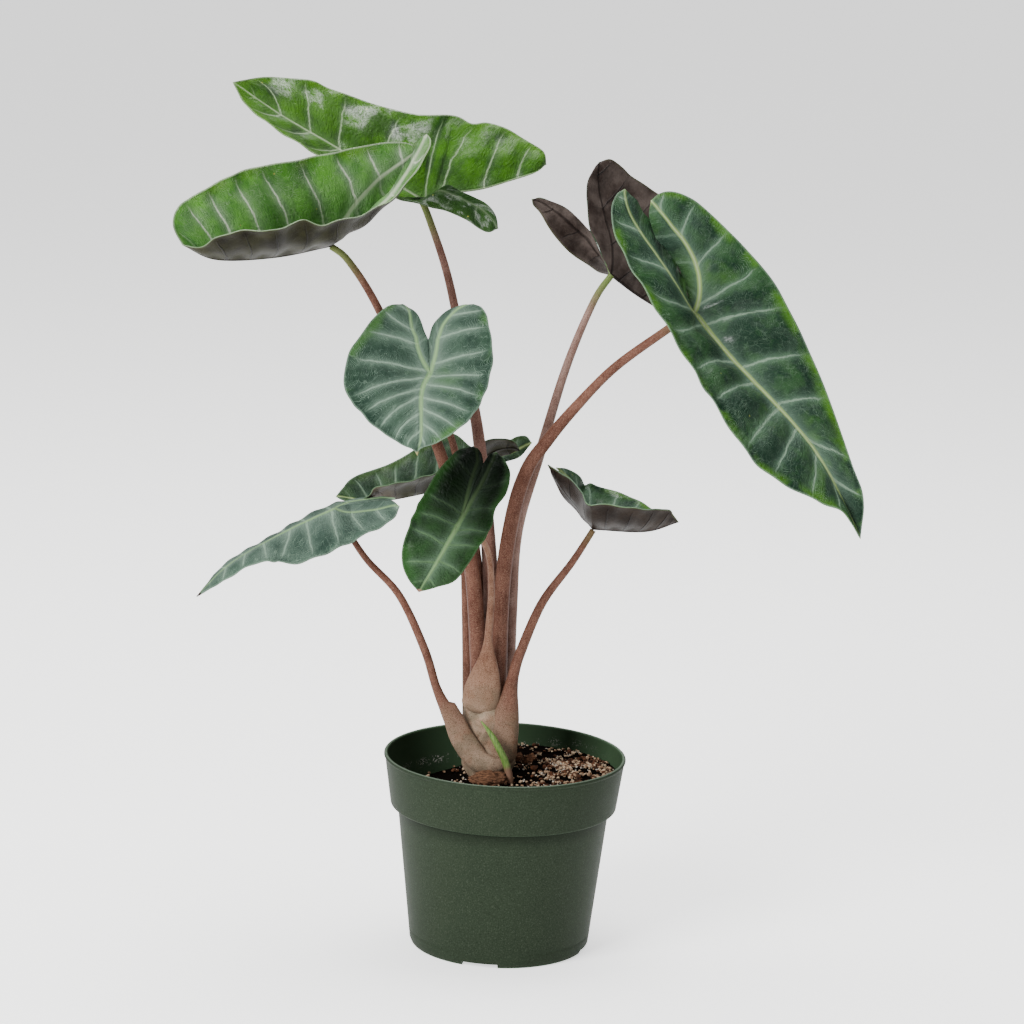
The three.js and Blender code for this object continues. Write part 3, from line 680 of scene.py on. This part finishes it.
# The bright tint with lighter greens as painted light, for a leaf in the shade of its own curl, and with
# its own wider pale halos on the veins.
BRIGHT_PAINTED_LIGHTER = dict(
    BRIGHT, dark=(32, 88, 26), light=(98, 168, 54), silver=(172, 212, 158), rib=(232, 250, 214),
    vein=(240, 255, 224), core_share=0, dark_tip=0.5, wash=0.7, shine=0.25, rib_width=1.4, haze_width=3.6,
    net=0.25)
DARK = dict(
    slot="blade_dark", dark=(26, 56, 40), light=(72, 116, 64), silver=(150, 184, 160),
    rib=(206, 238, 132), vein=(170, 202, 172), margin=(92, 150, 30), core=(16, 46, 20), core_share=0.12,
    dark_tip=0, wash=0.55, shine=0.4, rib_width=1.25, haze_width=2.2, painted_rib_highlight=0.7, net=0.36, cell_shade_paint=-0.2,
    flecks=0.4)
MOSSY = dict(
    DARK, dark=(34, 56, 34), light=(76, 108, 58), vein=(150, 178, 148), margin=(78, 112, 52), wash=0.35,
    shine=0.1, net=0.45)
BLACK = dict(
    DARK, dark=(18, 40, 22), light=(46, 84, 36), silver=(144, 180, 146), rib=(158, 202, 134),
    vein=(116, 152, 108), margin=(54, 104, 40), core=(4, 6, 0), core_share=0.95, wash=0.5, shine=0.1,
    rib_width=1.1, haze_width=2, painted_rib_highlight=0.15, net=0.2, cell_shade_paint=0.3, flecks=0)
SILVER = dict(
    slot="blade_silver", dark=(38, 64, 52), light=(74, 102, 82), silver=(150, 178, 158),
    rib=(164, 212, 140), vein=(172, 204, 178), margin=(90, 140, 70), core=(48, 74, 58), core_share=0,
    dark_tip=0, wash=0.7, shine=0, rib_width=1.1, haze_width=2.4, painted_rib_highlight=0.2, net=0.5, cell_shade_paint=-0.2, flecks=0)
PEWTER = dict(SILVER, dark=(54, 78, 68), light=(100, 122, 110), margin=(100, 128, 110), net=0.7, cell_shade_paint=0)
DULL_PURPLE = ((38, 30, 26), (64, 54, 47))
# A lighter copy of the purple underside, painted lighter as painted light and with a painted sheen at its
# pale end, for a blade that faces away from the lamps.
PURPLE_PAINTED_SHEEN = ((60, 50, 46), (116, 104, 98))
DULL_GREEN = ((32, 29, 18), (62, 62, 40))

# A leaf is set out from its midrib, its notch, and the margin and inner edge of each half, the right half
# first. "share" is how far along the margin the joint and the notch lie. A place along a blade is 0 at the
# tip, 1 at the joint and 2 at the end of a rear lobe, and a side vein runs from one such place on the main
# vein to another on the margin, both in hundredths.
USUAL_LEAF = dict(
    puff=(3, 3), waves=1, bend=(1.4, 1.4), lobe_vein=(0.36, 0.36), under=DULL_PURPLE, painted_light_under_tip=0,
    sheath=(0, 0, 1, 0.05), ear=(0, 0), papery=185, green=0.2, stalk=ROSE)
LEAVES = {}
LEAVES["high_back"] = dict(
    tint=BRIGHT, quilt=3, puff=(3, -2), waves=1.5, bend=(1.9, 1.9), share=(0.6, 0.68),
    # The left rear lobe is darkened as painted shade.
    lobe_vein=(0, 0.3), left_lobe_shade=(34, 60, 30),
    rib=[(-198, 48, 579), (-165, 53, 557), (-126, 58, 535), (-69, 62, 502)], notch=(-59, 60, 507),
    margin=[
        [(-179, 68, 581.3), (-161, 78, 580.2), (-146, 84, 578.4), (-134, 88, 573), (-104, 95, 563),
         (-77, 98, 557), (-50, 98, 557), (-38, 96, 552), (-27, 97, 553), (-13, 96, 549), (2, 93, 541),
         (12, 91, 535), (14, 87, 527)],
        [(-189, 38, 566), (-176, 27, 557), (-158, 22, 546), (-139, 18, 536), (-102, 22, 514),
         (-71, 35, 503), (-56, 34, 500), (-40, 30, 495), (-30, 27, 489), (-23, 25, 487), (-17, 24, 490)]],
    inner=[
        [(-31, 60, 511), (-9, 70, 517), (7, 79, 522)],
        [(-53, 46, 515), (-39, 36, 511), (-26, 29, 506), (-19, 25, 499)]],
    veins=[
        [(12, 3), (26, 12), (41, 40), (56, 62), (78, 90), (106, 120), (130, 138), (146, 152), (162, 168)],
        [(12, 5), (26, 16), (41, 32), (56, 50), (72, 68), (88, 88), (106, 116), (126, 138), (147, 149),
         (162, 168)]],
    path=[(-10, 9, 140), (-11, 10, 196), (-15, 11, 265), (-24.5, 16, 344), (-35, 25, 393), (-49, 41, 451),
          (-63, 57, 488), (-70, 63, 503)],
    radii=(6, 5.6, 4.4, 3, 2.3), green=0.9, stalk=MAUVE_PAINTED_SHEEN)
LEAVES["high_left"] = dict(
    tint=BRIGHT_PAINTED_LIGHTER, quilt=2.4, puff=(5, -4), waves=1.8, share=(0.6, 0.75), lobe_vein=(0.4, 0.3),
    under=DULL_GREEN,
    rib=[(-214, -120, 491), (-193, -110, 481), (-158, -68, 478), (-126, -22, 480)],
    notch=(-101, -9, 503),
    margin=[
        [(-221.4, -108, 501), (-220, -100, 511), (-213, -88, 517), (-183, -60, 532), (-152, -35, 537),
         (-122, -12, 542), (-105, 2, 545), (-86, 10, 547), (-76, 14, 545), (-74, 15, 540)],
        [(-202, -128, 491), (-191, -139, 499), (-175, -132, 503), (-156, -118, 502), (-147, -104, 505),
         (-139, -96, 506), (-129, -82, 502), (-113, -62, 504), (-99, -40, 507), (-87, -24, 513),
         (-76, -10, 524), (-65, 2, 541), (-63, 5, 549), (-66, 8, 553)]],
    inner=[[(-92, 2, 512), (-80, 11, 526)], [(-90, -4, 515), (-80, 2, 531), (-71, 7, 548)]],
    veins=[
        [(11, 11), (24, 29), (36, 44), (55, 60), (75, 76), (99, 98), (121, 122), (141, 143), (162, 166)],
        [(11, 8), (25, 20), (40, 33), (56, 48), (74, 68), (93, 90), (115, 120), (140, 145), (162, 168)]],
    path=[(-19, 3, 140), (-21, 2, 205), (-28, 1, 267), (-45, 0, 325), (-61, -3, 366), (-93, -10, 436),
          (-114, -18, 470), (-127, -22, 481)],
    radii=(5.7, 5.6, 4.2, 3, 2.2), green=0.8)
LEAVES["right_back"] = dict(
    tint=DARK, quilt=2, share=(0.62, 0.78), under=PURPLE_PAINTED_SHEEN,
    rib=[(161, 130, 392), (125, 105, 412), (82, 66, 440), (60, 45, 458)], notch=(46, 42, 487),
    margin=[
        [(166, 125, 415), (159, 120, 440), (142, 115, 469), (121, 108, 491), (81, 92, 515), (66, 82, 527),
         (58, 77, 533), (50, 74, 531)],
        [(141, 136.8, 409), (111, 128, 430), (71, 92, 448), (45, 52, 463), (24, 36, 481), (11, 30, 500),
         (6, 27, 506), (5, 26, 510)]],
    inner=[
        [(42, 50, 505), (42, 54, 514), (44, 62, 524)],
        [(31, 34, 502), (20, 30, 508), (11, 27, 511)]],
    veins=2 * [
        [(12, 6), (26, 18), (42, 34), (58, 52), (76, 72), (94, 92), (114, 120), (136, 146), (160, 170)]],
    path=[(1, 12, 140), (1, 13, 230), (3, 14, 287), (16, 16, 338), (32, 25, 397), (49, 35, 441),
          (61, 45, 459)],
    radii=(4.3, 4, 4, 3, 2.2), green=1, stalk=PINK_PAINTED_SHEEN)
LEAVES["right_front"] = dict(
    tint=DARK, quilt=3.2, puff=(4, 4), waves=1.5, bend=(0.8, 0.6), share=(0.55, 0.76),
    lobe_vein=(0.5, 0.36),
    rib=[(227, -72, 307), (193, -62, 365), (138, -40, 419), (114, -25, 445)], notch=(103, -23, 474),
    margin=[
        [(214, -82, 326), (197, -88, 334), (161, -96, 354), (135, -90, 384), (84, -64, 458),
         (67, -52, 483), (58, -42, 502), (57, -36, 514), (60, -31, 522), (65, -28, 525)],
        [(228, -68, 333), (220, -59, 354), (198, -38, 408), (169, -23, 462), (144, -16, 490),
         (118, -12, 513), (107, -12, 520), (97, -13, 523), (89, -15, 522), (83, -18, 517)]],
    inner=[
        [(96, -17, 486), (85, -17, 501), (76, -20, 513), (71, -24, 520)],
        [(95, -26, 485), (87, -26, 494), (82, -22, 507)]],
    veins=[
        [(10, 5), (22, 16), (34, 30), (45, 48), (54, 63), (66, 85), (76, 99), (93, 114), (105, 128),
         (128, 144), (150, 162), (172, 180)],
        [(10, 5), (25, 17), (41, 34), (55, 61), (73, 81), (93, 102), (103, 117), (124, 133), (142, 153),
         (164, 174)]],
    path=[(-5, 2, 140), (-6, 1, 240), (-1, 3, 295), (8, 3, 330), (21, 2, 351), (39, -1, 375),
          (64, -8, 404), (97, -18, 432), (114, -25, 446)],
    radii=(5.4, 5.4, 5, 3.2, 2.6))
LEAVES["heart"] = dict(
    tint=SILVER, quilt=0.9, waves=0.8, bend=(1.05, 1.05), share=(0.55, 0.75), lobe_vein=(0.26, 0.2),
    tip=(226, 214, 150),
    rib=[(-64, -62, 350), (-62, -58, 364), (-63, -42, 388), (-58, -30, 400)], notch=(-60, -24, 421),
    margin=[
        [(-67, -62, 354), (-75, -61, 357), (-92, -58, 367), (-102, -55, 376), (-113, -48, 389),
         (-113, -36, 409), (-106, -30, 421), (-98, -22, 432), (-88, -17, 441), (-78, -13, 442)],
        [(-62, -62, 355), (-49, -60, 360), (-32, -56, 373), (-22, -44, 388), (-17, -32, 411),
         (-21, -22, 434), (-25, -18, 442), (-31, -16, 444)]],
    inner=[
        [(-63, -21, 426), (-67, -16, 435), (-72, -14, 439)],
        [(-57, -20, 431), (-49, -17, 439), (-40, -16, 443)]],
    veins=[
        [(28, 10), (48, 22), (68, 38), (77, 58), (93, 74), (101, 109), (123, 131), (136, 158),
         (160, 180)],
        [(20, 10), (36, 28), (53, 47), (66, 67), (83, 86), (94, 107), (108, 126), (130, 147),
         (150, 168)]],
    path=[(-15, 17, 140), (-17, 17, 201), (-24, 11, 269), (-36, -1, 326), (-47, -13, 365),
          (-58, -30, 401)],
    radii=(3.8, 3.4, 3, 2.5, 2), green=0.3)
LEAVES["low_front"] = dict(
    tint=BLACK, quilt=1.1, bend=(1.3, 1), share=(0.55, 0.86), lobe_vein=(0.24, 0.3),
    tip=(190, 150, 130),
    rib=[(-60, -85, 264), (-47, -76, 286), (-33, -56, 310)], notch=(-21, -43, 343),
    margin=[
        [(-68, -84, 274), (-72, -78, 288), (-65, -66, 313), (-51, -50, 337), (-39, -42, 350),
         (-28, -39, 353)],
        [(-48, -82, 267), (-36, -76, 271), (-27, -69, 283), (-15, -56, 301), (-12, -49, 313),
         (-5, -43, 324), (-3, -38, 335), (-7, -36, 344), (-13, -36, 349)]],
    inner=[[(-23, -41, 350)], [(-17, -38, 348)]],
    veins=[
        [(14, 12), (37, 34), (60, 72), (86, 88), (100, 105), (120, 130), (150, 160)],
        [(18, 16), (40, 46), (60, 78), (80, 95), (103, 110), (115, 126), (140, 150), (165, 175)]],
    path=[(-19.5, -3.5, 162), (-17, -7.5, 178), (-14.3, -11, 200), (-14, -12.5, 218), (-13, -19, 252),
          (-17, -32, 283), (-32.6, -56.3, 310.3)],
    radii=(4, 2.8, 2.4, 2, 1.8), sheath=(12.5, 4.5, 0.36, 0.05), papery=205, stalk=TAWNY)
LEAVES["low_left"] = dict(
    tint=PEWTER, quilt=1.3, puff=(4, 2), waves=1.2, share=(0.68, 0.76), tip=(52, 34, 24),
    rib=[(-209, -35, 244), (-188, -26, 265), (-153, -16, 286), (-120, -8, 302)], notch=(-110, 4, 302),
    margin=[
        [(-192, -6, 259), (-166, 18, 268), (-137, 33, 284), (-115, 36, 294), (-94, 26, 302),
         (-80, 10, 306)],
        [(-187, -40, 259), (-172, -43, 269), (-159, -45, 272), (-140, -46, 272), (-114, -40, 282),
         (-98, -34, 290), (-87, -30, 295), (-79, -27, 301), (-76, -24, 308)]],
    inner=[[(-97, 7, 303)], [(-94, -5, 306), (-82, -16, 310)]],
    veins=[
        [(12, 10), (25, 22), (39, 36), (52, 50), (68, 65), (81, 80), (97, 98), (125, 130), (150, 160)],
        [(12, 10), (25, 20), (39, 36), (52, 53), (70, 60), (81, 82), (97, 100), (128, 139), (150, 160)]],
    path=[(2, -9, 129), (-8, -11.5, 128), (-17, -11, 130.5), (-24, -9.5, 137.5), (-31, -8, 146.5),
          (-35.5, -7, 155), (-41, -6, 165), (-48.2, -6, 180), (-57, -8, 207), (-75, -10, 244),
          (-99, -11, 270), (-120, -8, 301.2)],
    radii=(3.4, 3, 2.9, 2.4, 1.9), sheath=(8.7, 5, 0.38, 0.16), ear=(0.3, 3), papery=186)
LEAVES["mid_back"] = dict(
    tint=MOSSY, quilt=1.5, puff=(2, 2), waves=1.4, share=(0.6, 0.75), under=DULL_GREEN,
    # Its underside near the tip, shut in over low_left, is paled as painted light.
    painted_light_under_tip=0.8,
    rib=[(-121, 25, 303), (-91, 34, 299), (-54, 46, 305), (-40, 48, 309)], notch=(-25, 54, 320),
    margin=[
        [(-117, 34, 307), (-109, 42, 314), (-84, 61, 321), (-48, 80, 339), (-29, 78, 330), (-7, 74, 336),
         (1, 72, 340), (7, 69, 341), (11, 66, 337)],
        [(-115, 22, 301), (-107, 18, 301), (-98, 14, 307), (-95, 11, 312), (-89, 9, 315), (-74, 10, 318),
         (-51, 17, 325), (-20, 24, 345), (-3, 30, 345), (3, 33, 338)]],
    inner=[[(-10, 60, 323), (3, 62, 328)], [(-10, 47, 330)]],
    veins=2 * [
        [(12, 10), (27, 21), (42, 40), (50, 58), (66, 78), (85, 95), (110, 115), (135, 140), (160, 165)]],
    path=[(-25, 12, 140), (-28, 13, 202), (-33, 21, 270), (-38, 38, 300), (-40, 49, 310)],
    radii=(4.6, 4, 3.2, 2.4, 1.9))
LEAVES["low_right"] = dict(
    tint=DARK, quilt=1.3, puff=(-3, 3), share=(0.62, 0.75),
    rib=[(111, -5, 300), (89, 2, 291), (54, 8, 290)], notch=(44, 22, 298),
    margin=[
        [(107, -12, 306), (103, -19, 311), (86, -29, 313), (60, -33, 316), (49, -28, 315), (45, -20, 321),
         (39, -14, 327), (31, -8, 331), (22, -5, 336)],
        [(95, 22, 302), (87, 32, 305), (72, 42, 309), (57, 47, 312), (52, 46, 314), (48, 44, 313),
         (45, 40, 319), (41, 36, 323), (34, 30, 327), (28, 26, 328)]],
    inner=[[(35, 12, 309), (28, 4, 321)], [(40, 24, 311)]],
    veins=2 * [
        [(14, 8), (30, 22), (48, 40), (66, 60), (86, 84), (110, 120), (140, 150), (165, 175)]],
    path=[(-3, -3, 126), (-2.5, -6, 145), (0, -6.5, 162), (2, -6.5, 179), (4.2, -6, 192), (8, -5, 206),
          (21.5, -1, 240), (41, 4, 268), (55, 8, 291)],
    radii=(4.4, 4.2, 3.4, 2.8, 2.1), sheath=(11, 5.5, 0.38, 0.05), papery=186)
BLADE_THICKNESS = 0.7
BLADE_STEP = 1.25
BRIDGE_SHARE = 2 / 7
HALVES_APART = 40


def gradient_reach(field, spots):
    """How many millimetres of the blade one unit of a field spans, at each vertex of its grid."""
    field_up, field_across = np.gradient(field)
    up, across = np.gradient(spots, axis=(0, 1))
    pairs = ((up, up), (up, across), (across, across))
    up_up, up_across, across_across = [(a * b).sum(-1) for a, b in pairs]
    area = np.maximum(up_up * across_across - up_across ** 2, 1e-9)
    slope = (field_across ** 2 * up_up - 2 * field_across * field_up * up_across
             + field_up ** 2 * across_across) / area
    return 1 / np.sqrt(np.maximum(slope, 1e-6))


def main_vein(leaf, side, place):
    """How far across a half its main vein runs: along the midrib, then out into the rear lobe."""
    return leaf["lobe_vein"][side < 0] * (1 - np.clip(2 - place, 0, 1) ** 4)


def vein_count(leaf, side, place, across):
    """How many side veins lie between a spot and the tip: a whole number on each vein."""
    veins = np.array(leaf["veins"][side < 0]) / 100
    veins = np.vstack([veins[0] - 0.14, veins, veins[-1] + 0.25])
    main = main_vein(leaf, side, place)
    out = np.where(across > main, (across - main) / (1 - main), (main - across) / np.maximum(main, 0.01))
    starts = veins[:, 0] + (veins[:, 1] - veins[:, 0]) * (out ** leaf["bend"][side < 0])[..., None]
    return np.clip((place[..., None] - starts[..., :-1]) / np.diff(starts), 0, 1).sum(-1)


def blade_surface(leaf, side, place, across):
    """Spots in millimetres on the middle of one half, for places along it and shares across it."""
    margin, inner_edge = leaf["margin"][side < 0], leaf["inner"][side < 0]
    joint_share, notch_share = leaf["share"]
    body = np.clip(place, 0, 1)
    rear = np.clip((place - 1) / BRIDGE_SHARE, 0, 1)
    lobe_rows = np.clip((place - 1 - BRIDGE_SHARE) / (1 - BRIDGE_SHARE), 0, 1)
    lobe = np.sin(lobe_rows * math.pi / 2)
    joint, notch = np.array(leaf["rib"][-1]), np.array(leaf["notch"])
    inner = curve_points(leaf["rib"], body)
    inner = np.where(place[..., None] > 1, joint + (notch - joint) * rear[..., None], inner)
    lobe_edge = curve_points([leaf["notch"], *inner_edge, margin[-1]], lobe)
    inner = np.where(place[..., None] > 1 + BRIDGE_SHARE, lobe_edge, inner)
    round_margin = joint_share + (notch_share - joint_share) * rear + (1 - notch_share) * lobe
    along = np.where(place <= 1, body * joint_share, round_margin)
    out = curve_points([leaf["rib"][0], *margin], along) - inner
    ahead = curve_points(leaf["rib"], np.clip(body + 0.01, 0, 1))
    ahead = ahead - curve_points(leaf["rib"], np.clip(body - 0.01, 0, 1))
    up = np.cross(ahead, out) * side
    up /= np.maximum(np.linalg.norm(up, axis=-1), 1e-6)[..., None]
    fade = np.sin(math.pi * (8 * body + 2 * rear + 5 * lobe_rows) / 15)
    lift = leaf["puff"][side < 0] * np.sin(math.pi * across) ** 2 * fade
    tissue = np.sin(math.pi * vein_count(leaf, side, place, across)) ** 2 - 0.5
    lift = lift - leaf["waves"] * across ** 3 * fade * tissue
    away = smoothstep(abs(across - main_vein(leaf, side, place)), 0, 0.22) * smoothstep(across, 1, 0.75)
    lift = lift + leaf["quilt"] * tissue * away * fade
    spread = 1 + 0.6 * tissue * fade * across ** 4 / np.maximum(np.linalg.norm(out, axis=-1), 8)
    return inner + out * (across * spread)[..., None] + up * lift[..., None]


def half_blade(leaf, side):
    """One half of a blade as a bent grid, whose vertices keep where the veins and the margin are."""
    rib_length = np.linalg.norm(np.diff(np.array(leaf["rib"]), axis=0), axis=1).sum()
    lobe_length = np.linalg.norm(np.array(leaf["margin"][side < 0][-1]) - leaf["rib"][-1])
    body_rows = max(40, round(rib_length / BLADE_STEP))
    rear_rows = max(36, round(1.3 * lobe_length / BLADE_STEP))
    rows = body_rows + rear_rows
    columns = max(30, round(0.45 * rib_length / BLADE_STEP))
    shape = bmesh.new()
    bmesh.ops.create_grid(shape, x_segments=columns, y_segments=rows, size=0.5)
    if side > 0:
        bmesh.ops.reverse_faces(shape, faces=shape.faces[:])
    mesh = mesh_from(shape, "half_blade")
    row = np.arange(rows + 1)
    place_of_row = np.where(row <= body_rows, row / body_rows, 1 + (row - body_rows) / rear_rows)
    place, across = np.meshgrid(place_of_row, np.arange(columns + 1) / columns, indexing="ij")
    spots = blade_surface(leaf, side, place, across)
    count = vein_count(leaf, side, place, across)
    from_main = across - main_vein(leaf, side, place)
    to_main = from_main * gradient_reach(from_main, spots)
    to_margin = (1 - across) * gradient_reach(across, spots)
    reach = np.minimum(gradient_reach(count, spots), 60)
    mesh.vertices.foreach_set("co", (spots * MM).ravel())
    keeps = {"vein": (count, reach, to_main), "blade": (place, across * side, to_margin),
             "net": (to_main, count * np.median(reach), np.full_like(across, HALVES_APART * side))}
    for name, fields in keeps.items():
        kept = mesh.attributes.new(name, "FLOAT_VECTOR", "POINT")
        kept.data.foreach_set("vector", np.stack(fields, -1).ravel())
    return mesh


class BladeMasks:
    """Where a blade's veins, their pale haze, its fine net and its margin are, each from 0 to 1."""

    def __init__(self, finish, rib_width, haze_width=2):
        count, reach, to_main = finish.parts(finish.attribute("vein"))
        self.place, side_across, to_margin = finish.parts(finish.attribute("blade"))
        self.across = abs(side_across)
        self.left = side_across.step(0.01, -0.01)
        wobble = finish.noise(9, detail=3) - 0.5
        rear = self.place.step(0.97, 1.05)
        beyond_main = to_main.step(0, -1.5)
        to_main = abs(to_main + wobble * 0.7)
        to_side = abs((count + 0.5 + wobble * 0.14).math("FRACT") - 0.5) * reach
        main_half_width = (self.place * 1.15 + 0.45) * (1 - rear) + (2.3 - self.place) * 0.95 * rear
        main_half_width = main_half_width * rib_width
        self.main = (to_main - main_half_width).step(0.9, -0.8)
        # A thin line down the middle of the midrib, where its painted highlight goes.
        self.painted_rib_highlight = (to_main - main_half_width * 0.4).step(0.3, -0.3)
        side_half_width = ((1 - self.across) * 0.5 + 0.25) * rib_width
        fade_out = self.across.step(1, 0.68) * (1 - beyond_main * 0.75) * self.place.step(0.08, 0.18)
        self.side = (to_side - side_half_width).step(0.5, -0.4) * fade_out
        by_main = 1 - self.place.step(1.15, 1.6) * 0.6 - self.place.step(0.3, 0.05) * 0.6
        by_main = by_main / ((to_main / 4.2) ** 2 + 1)
        by_side = fade_out * (self.place.step(0.1, 0.45) * 0.5 + 0.3) / ((to_side / haze_width) ** 2 + 1)
        self.haze = (by_side + by_main).at_most(1)
        # Middles of the cells between side veins, where painted light and shade fall on the quilted
        # tissue.
        self.tissue = to_side.step(1.5, 5)
        self.off_rib = to_main.step(0.8, 2.6)
        net = finish.attribute("net")
        swirl = finish.noise_on(net, 0.13, 3, "Color")
        self.bent = finish.node("ShaderNodeVectorMath", {"operation": "MULTIPLY_ADD"}, {
            0: swirl, 1: (4, 6, 5), 2: finish.stretched(net, (0.35, 1, 1))})
        coarse = finish.cells(0.35, "DISTANCE_TO_EDGE", self.bent).step(0.06, 0)
        patchy = finish.noise(7, detail=3).step(0.42, 0.62)
        outer = self.across.step(0.1, 0.85) * 0.8 + 0.2
        bow = (count * math.pi).math("SINE")
        arcs = (to_main + bow * bow * 5 + finish.noise(8, detail=3) * 7) / 1.15
        arcs = abs(arcs.math("FRACT") - 0.5).step(0.2, 0)
        other_patch = finish.noise(10, detail=3).step(0.4, 0.6)
        threads = (coarse * patchy * 0.5 + arcs * other_patch * outer).at_most(1)
        self.net = threads * self.place.step(0.03, 0.2) * self.off_rib
        self.edge_band = to_margin.step(9, 1)
        self.margin = to_margin.step(1.6, 0.2)


def upper_finish(name, leaf):
    """The blade's glossy upper skin."""
    tint = leaf["tint"]
    finish = Finish(name, Specular_IOR_Level=0.03, Coat_Roughness=0.21, Coat_IOR=1.5)
    mask = BladeMasks(finish, tint["rib_width"], tint["haze_width"])
    clouds = finish.noise(24)
    grain = finish.noise(0.8, detail=3)
    patches = finish.noise(34, detail=3)
    towards_margin = mask.edge_band * patches.step(0.44, 0.56) + patches.step(0.58, 0.7) * 0.5
    rear = 1 / ((abs(mask.place - 1.4) / 0.5) ** 4 + 1) * (mask.across.step(0.98, 0.6) * 0.5 + 0.5)
    fleck = finish.cells(1 / (16 * MM)).step(0.055, 0.035)
    # Painted light and shade: the middles of the quilted cells between side veins are lightened, or
    # darkened where the tint's value is below 0, as light falls on their bulges.
    pale = clouds.step(0.38, 0.64) * 0.8 + mask.tissue * tint["cell_shade_paint"]
    skin = finish.coats(
        finish.mix(pale, tint["dark"], tint["light"]),
        (towards_margin.at_most(1) * 0.8, tint["margin"]),
        ((mask.haze * tint["wash"]).at_most(1), tint["silver"]),
        (mask.net * tint["net"], tint["vein"]),
        (grain.step(0.45, 0.75) * 0.12, tint["silver"]),
        (mask.side * 0.8, tint["vein"]),
        (mask.main * 0.75, tint["rib"]),
        # Painted highlight: a pale line down the centre of the midrib.
        (mask.painted_rib_highlight * tint["painted_rib_highlight"], (222, 240, 192)),
        (mask.margin * 0.5, tint["vein"]),
        (rear * tint["core_share"], tint["core"]),
        (mask.place.step(0.4, 0.05) * tint["dark_tip"], tint["dark"]))
    # Painted shade: a darker colour over the left rear lobe, which turns away from the light.
    if "left_lobe_shade" in leaf:
        skin = finish.mix(mask.place.step(1, 1.12) * mask.left * 0.75, skin, leaf["left_lobe_shade"])
    skin = finish.mix(fleck * tint["flecks"] * 0.8, skin, (200, 208, 96))
    if "tip" in leaf:
        skin = finish.mix(mask.place.step(0.05, 0.025), skin, leaf["tip"])
    strokes = finish.noise_on(mask.bent, 1.3, 2).step(0.35, 0.6) * 0.75 + 0.25
    shine = finish.noise(13).step(0.34, 0.56) * (1 - 0.7 * mask.place.step(0.9, 1.15))
    shine = shine * mask.place.step(0.08, 0.3) * strokes * tint["shine"]
    finish.feed(Base_Color=skin, Roughness=clouds * 0.2 + 0.3, Coat_Weight=shine)
    puckers = finish.noise_on(mask.bent, 0.9, 1.5) * mask.off_rib
    veins = mask.main * 0.35 - mask.side * 0.25 - mask.net * 0.08
    finish.bump(puckers * 1.3 + veins + grain * 0.05, 0.9)
    return finish


def under_finish(name, leaf):
    """The blade's dull underside, its veins raised and darker."""
    finish = Finish(name, Specular_IOR_Level=0.05)
    mask = BladeMasks(finish, 0.8)
    clouds = finish.noise(16)
    grain = finish.noise(0.8, detail=3)
    veins = (mask.main + mask.side).at_most(1) * mask.place.step(0, 0.3)
    skin = finish.coats(
        finish.mix(clouds.step(0.3, 0.7), *leaf["under"]),
        (grain.step(0.45, 0.75) * 0.25, (104, 90, 78)),
        (mask.net * 0.25, (30, 22, 20)),
        (veins * 0.7, (22, 15, 13)),
        (mask.margin * 0.6, (96, 100, 68)),
        # Painted light: the underside near the tip is paled where it lies in shade between blades.
        (mask.place.step(0.6, 0.2) * leaf["painted_light_under_tip"], (200, 184, 164)))
    finish.feed(Base_Color=skin, Roughness=clouds * 0.2 + 0.4)
    finish.bump(mask.main + mask.side * 0.7 + mask.net * 0.15 + grain * 0.06, 0.8)
    return finish


for leaf_name, own in LEAVES.items():
    leaf = {**USUAL_LEAF, **own}
    petiole_finish = stalk_finish(f"petiole_{leaf_name}", *leaf["stalk"], leaf["green"], leaf["papery"])
    stalk = stalk_shape(leaf["path"], leaf["radii"], leaf["sheath"], leaf["ear"])
    piece_from(stalk, f"stalk_{leaf_name}", [petiole_finish], "petiole", [f"petiole_{leaf_name}"])

    blade_shape = bmesh.new()
    for side in (1, -1):
        half_mesh = half_blade(leaf, side)
        blade_shape.from_mesh(half_mesh)
        bpy.data.meshes.remove(half_mesh)
    bmesh.ops.remove_doubles(blade_shape, verts=blade_shape.verts[:], dist=2e-5)
    skins = [upper_finish(f"upper_{leaf_name}", leaf), under_finish(f"under_{leaf_name}", leaf)]
    slot = leaf["tint"]["slot"]
    blade = piece_from(blade_shape, f"leaf_{leaf_name}", skins, slot, [f"blade_{leaf_name}"])
    thick = blade.modifiers.new("thickness", "SOLIDIFY")
    thick.thickness = BLADE_THICKNESS * MM
    thick.offset = 0
    thick.material_offset = 1
    thick.material_offset_rim = 0

# Shoot: a young stalk in front of the corm, smooth and satin, whose narrow blade is still rolled up. It
# is bright green on a brown foot.
SHOOT_PATH = [(4, -22, 108), (3.5, -22, 122), (1, -21, 132), (-4, -20, 142), (-10, -19, 152),
              (-18, -19, 162)]
SHOOT_RADII = (2.6, 2.6, 2.5, 2.1, 0.4)
shoot_finish = Finish("shoot_skin", Roughness=0.45)
shoot_along = shoot_finish.parts(shoot_finish.attribute("stalk"))[0]
shoot_streaks = shoot_finish.noise(0.8, stretch=(1, 1, 0.15))
shoot_green = shoot_finish.mix(shoot_streaks.step(0.35, 0.65), (104, 150, 62), (164, 202, 100))
shoot_finish.feed(Base_Color=shoot_finish.mix(shoot_along.step(0.42, 0.34), shoot_green, (162, 122, 98)))
shoot_finish.bump(shoot_streaks, 0.15)
piece_from(stalk_shape(SHOOT_PATH, SHOOT_RADII), "shoot_stalk", [shoot_finish], "shoot", ["shoot"])
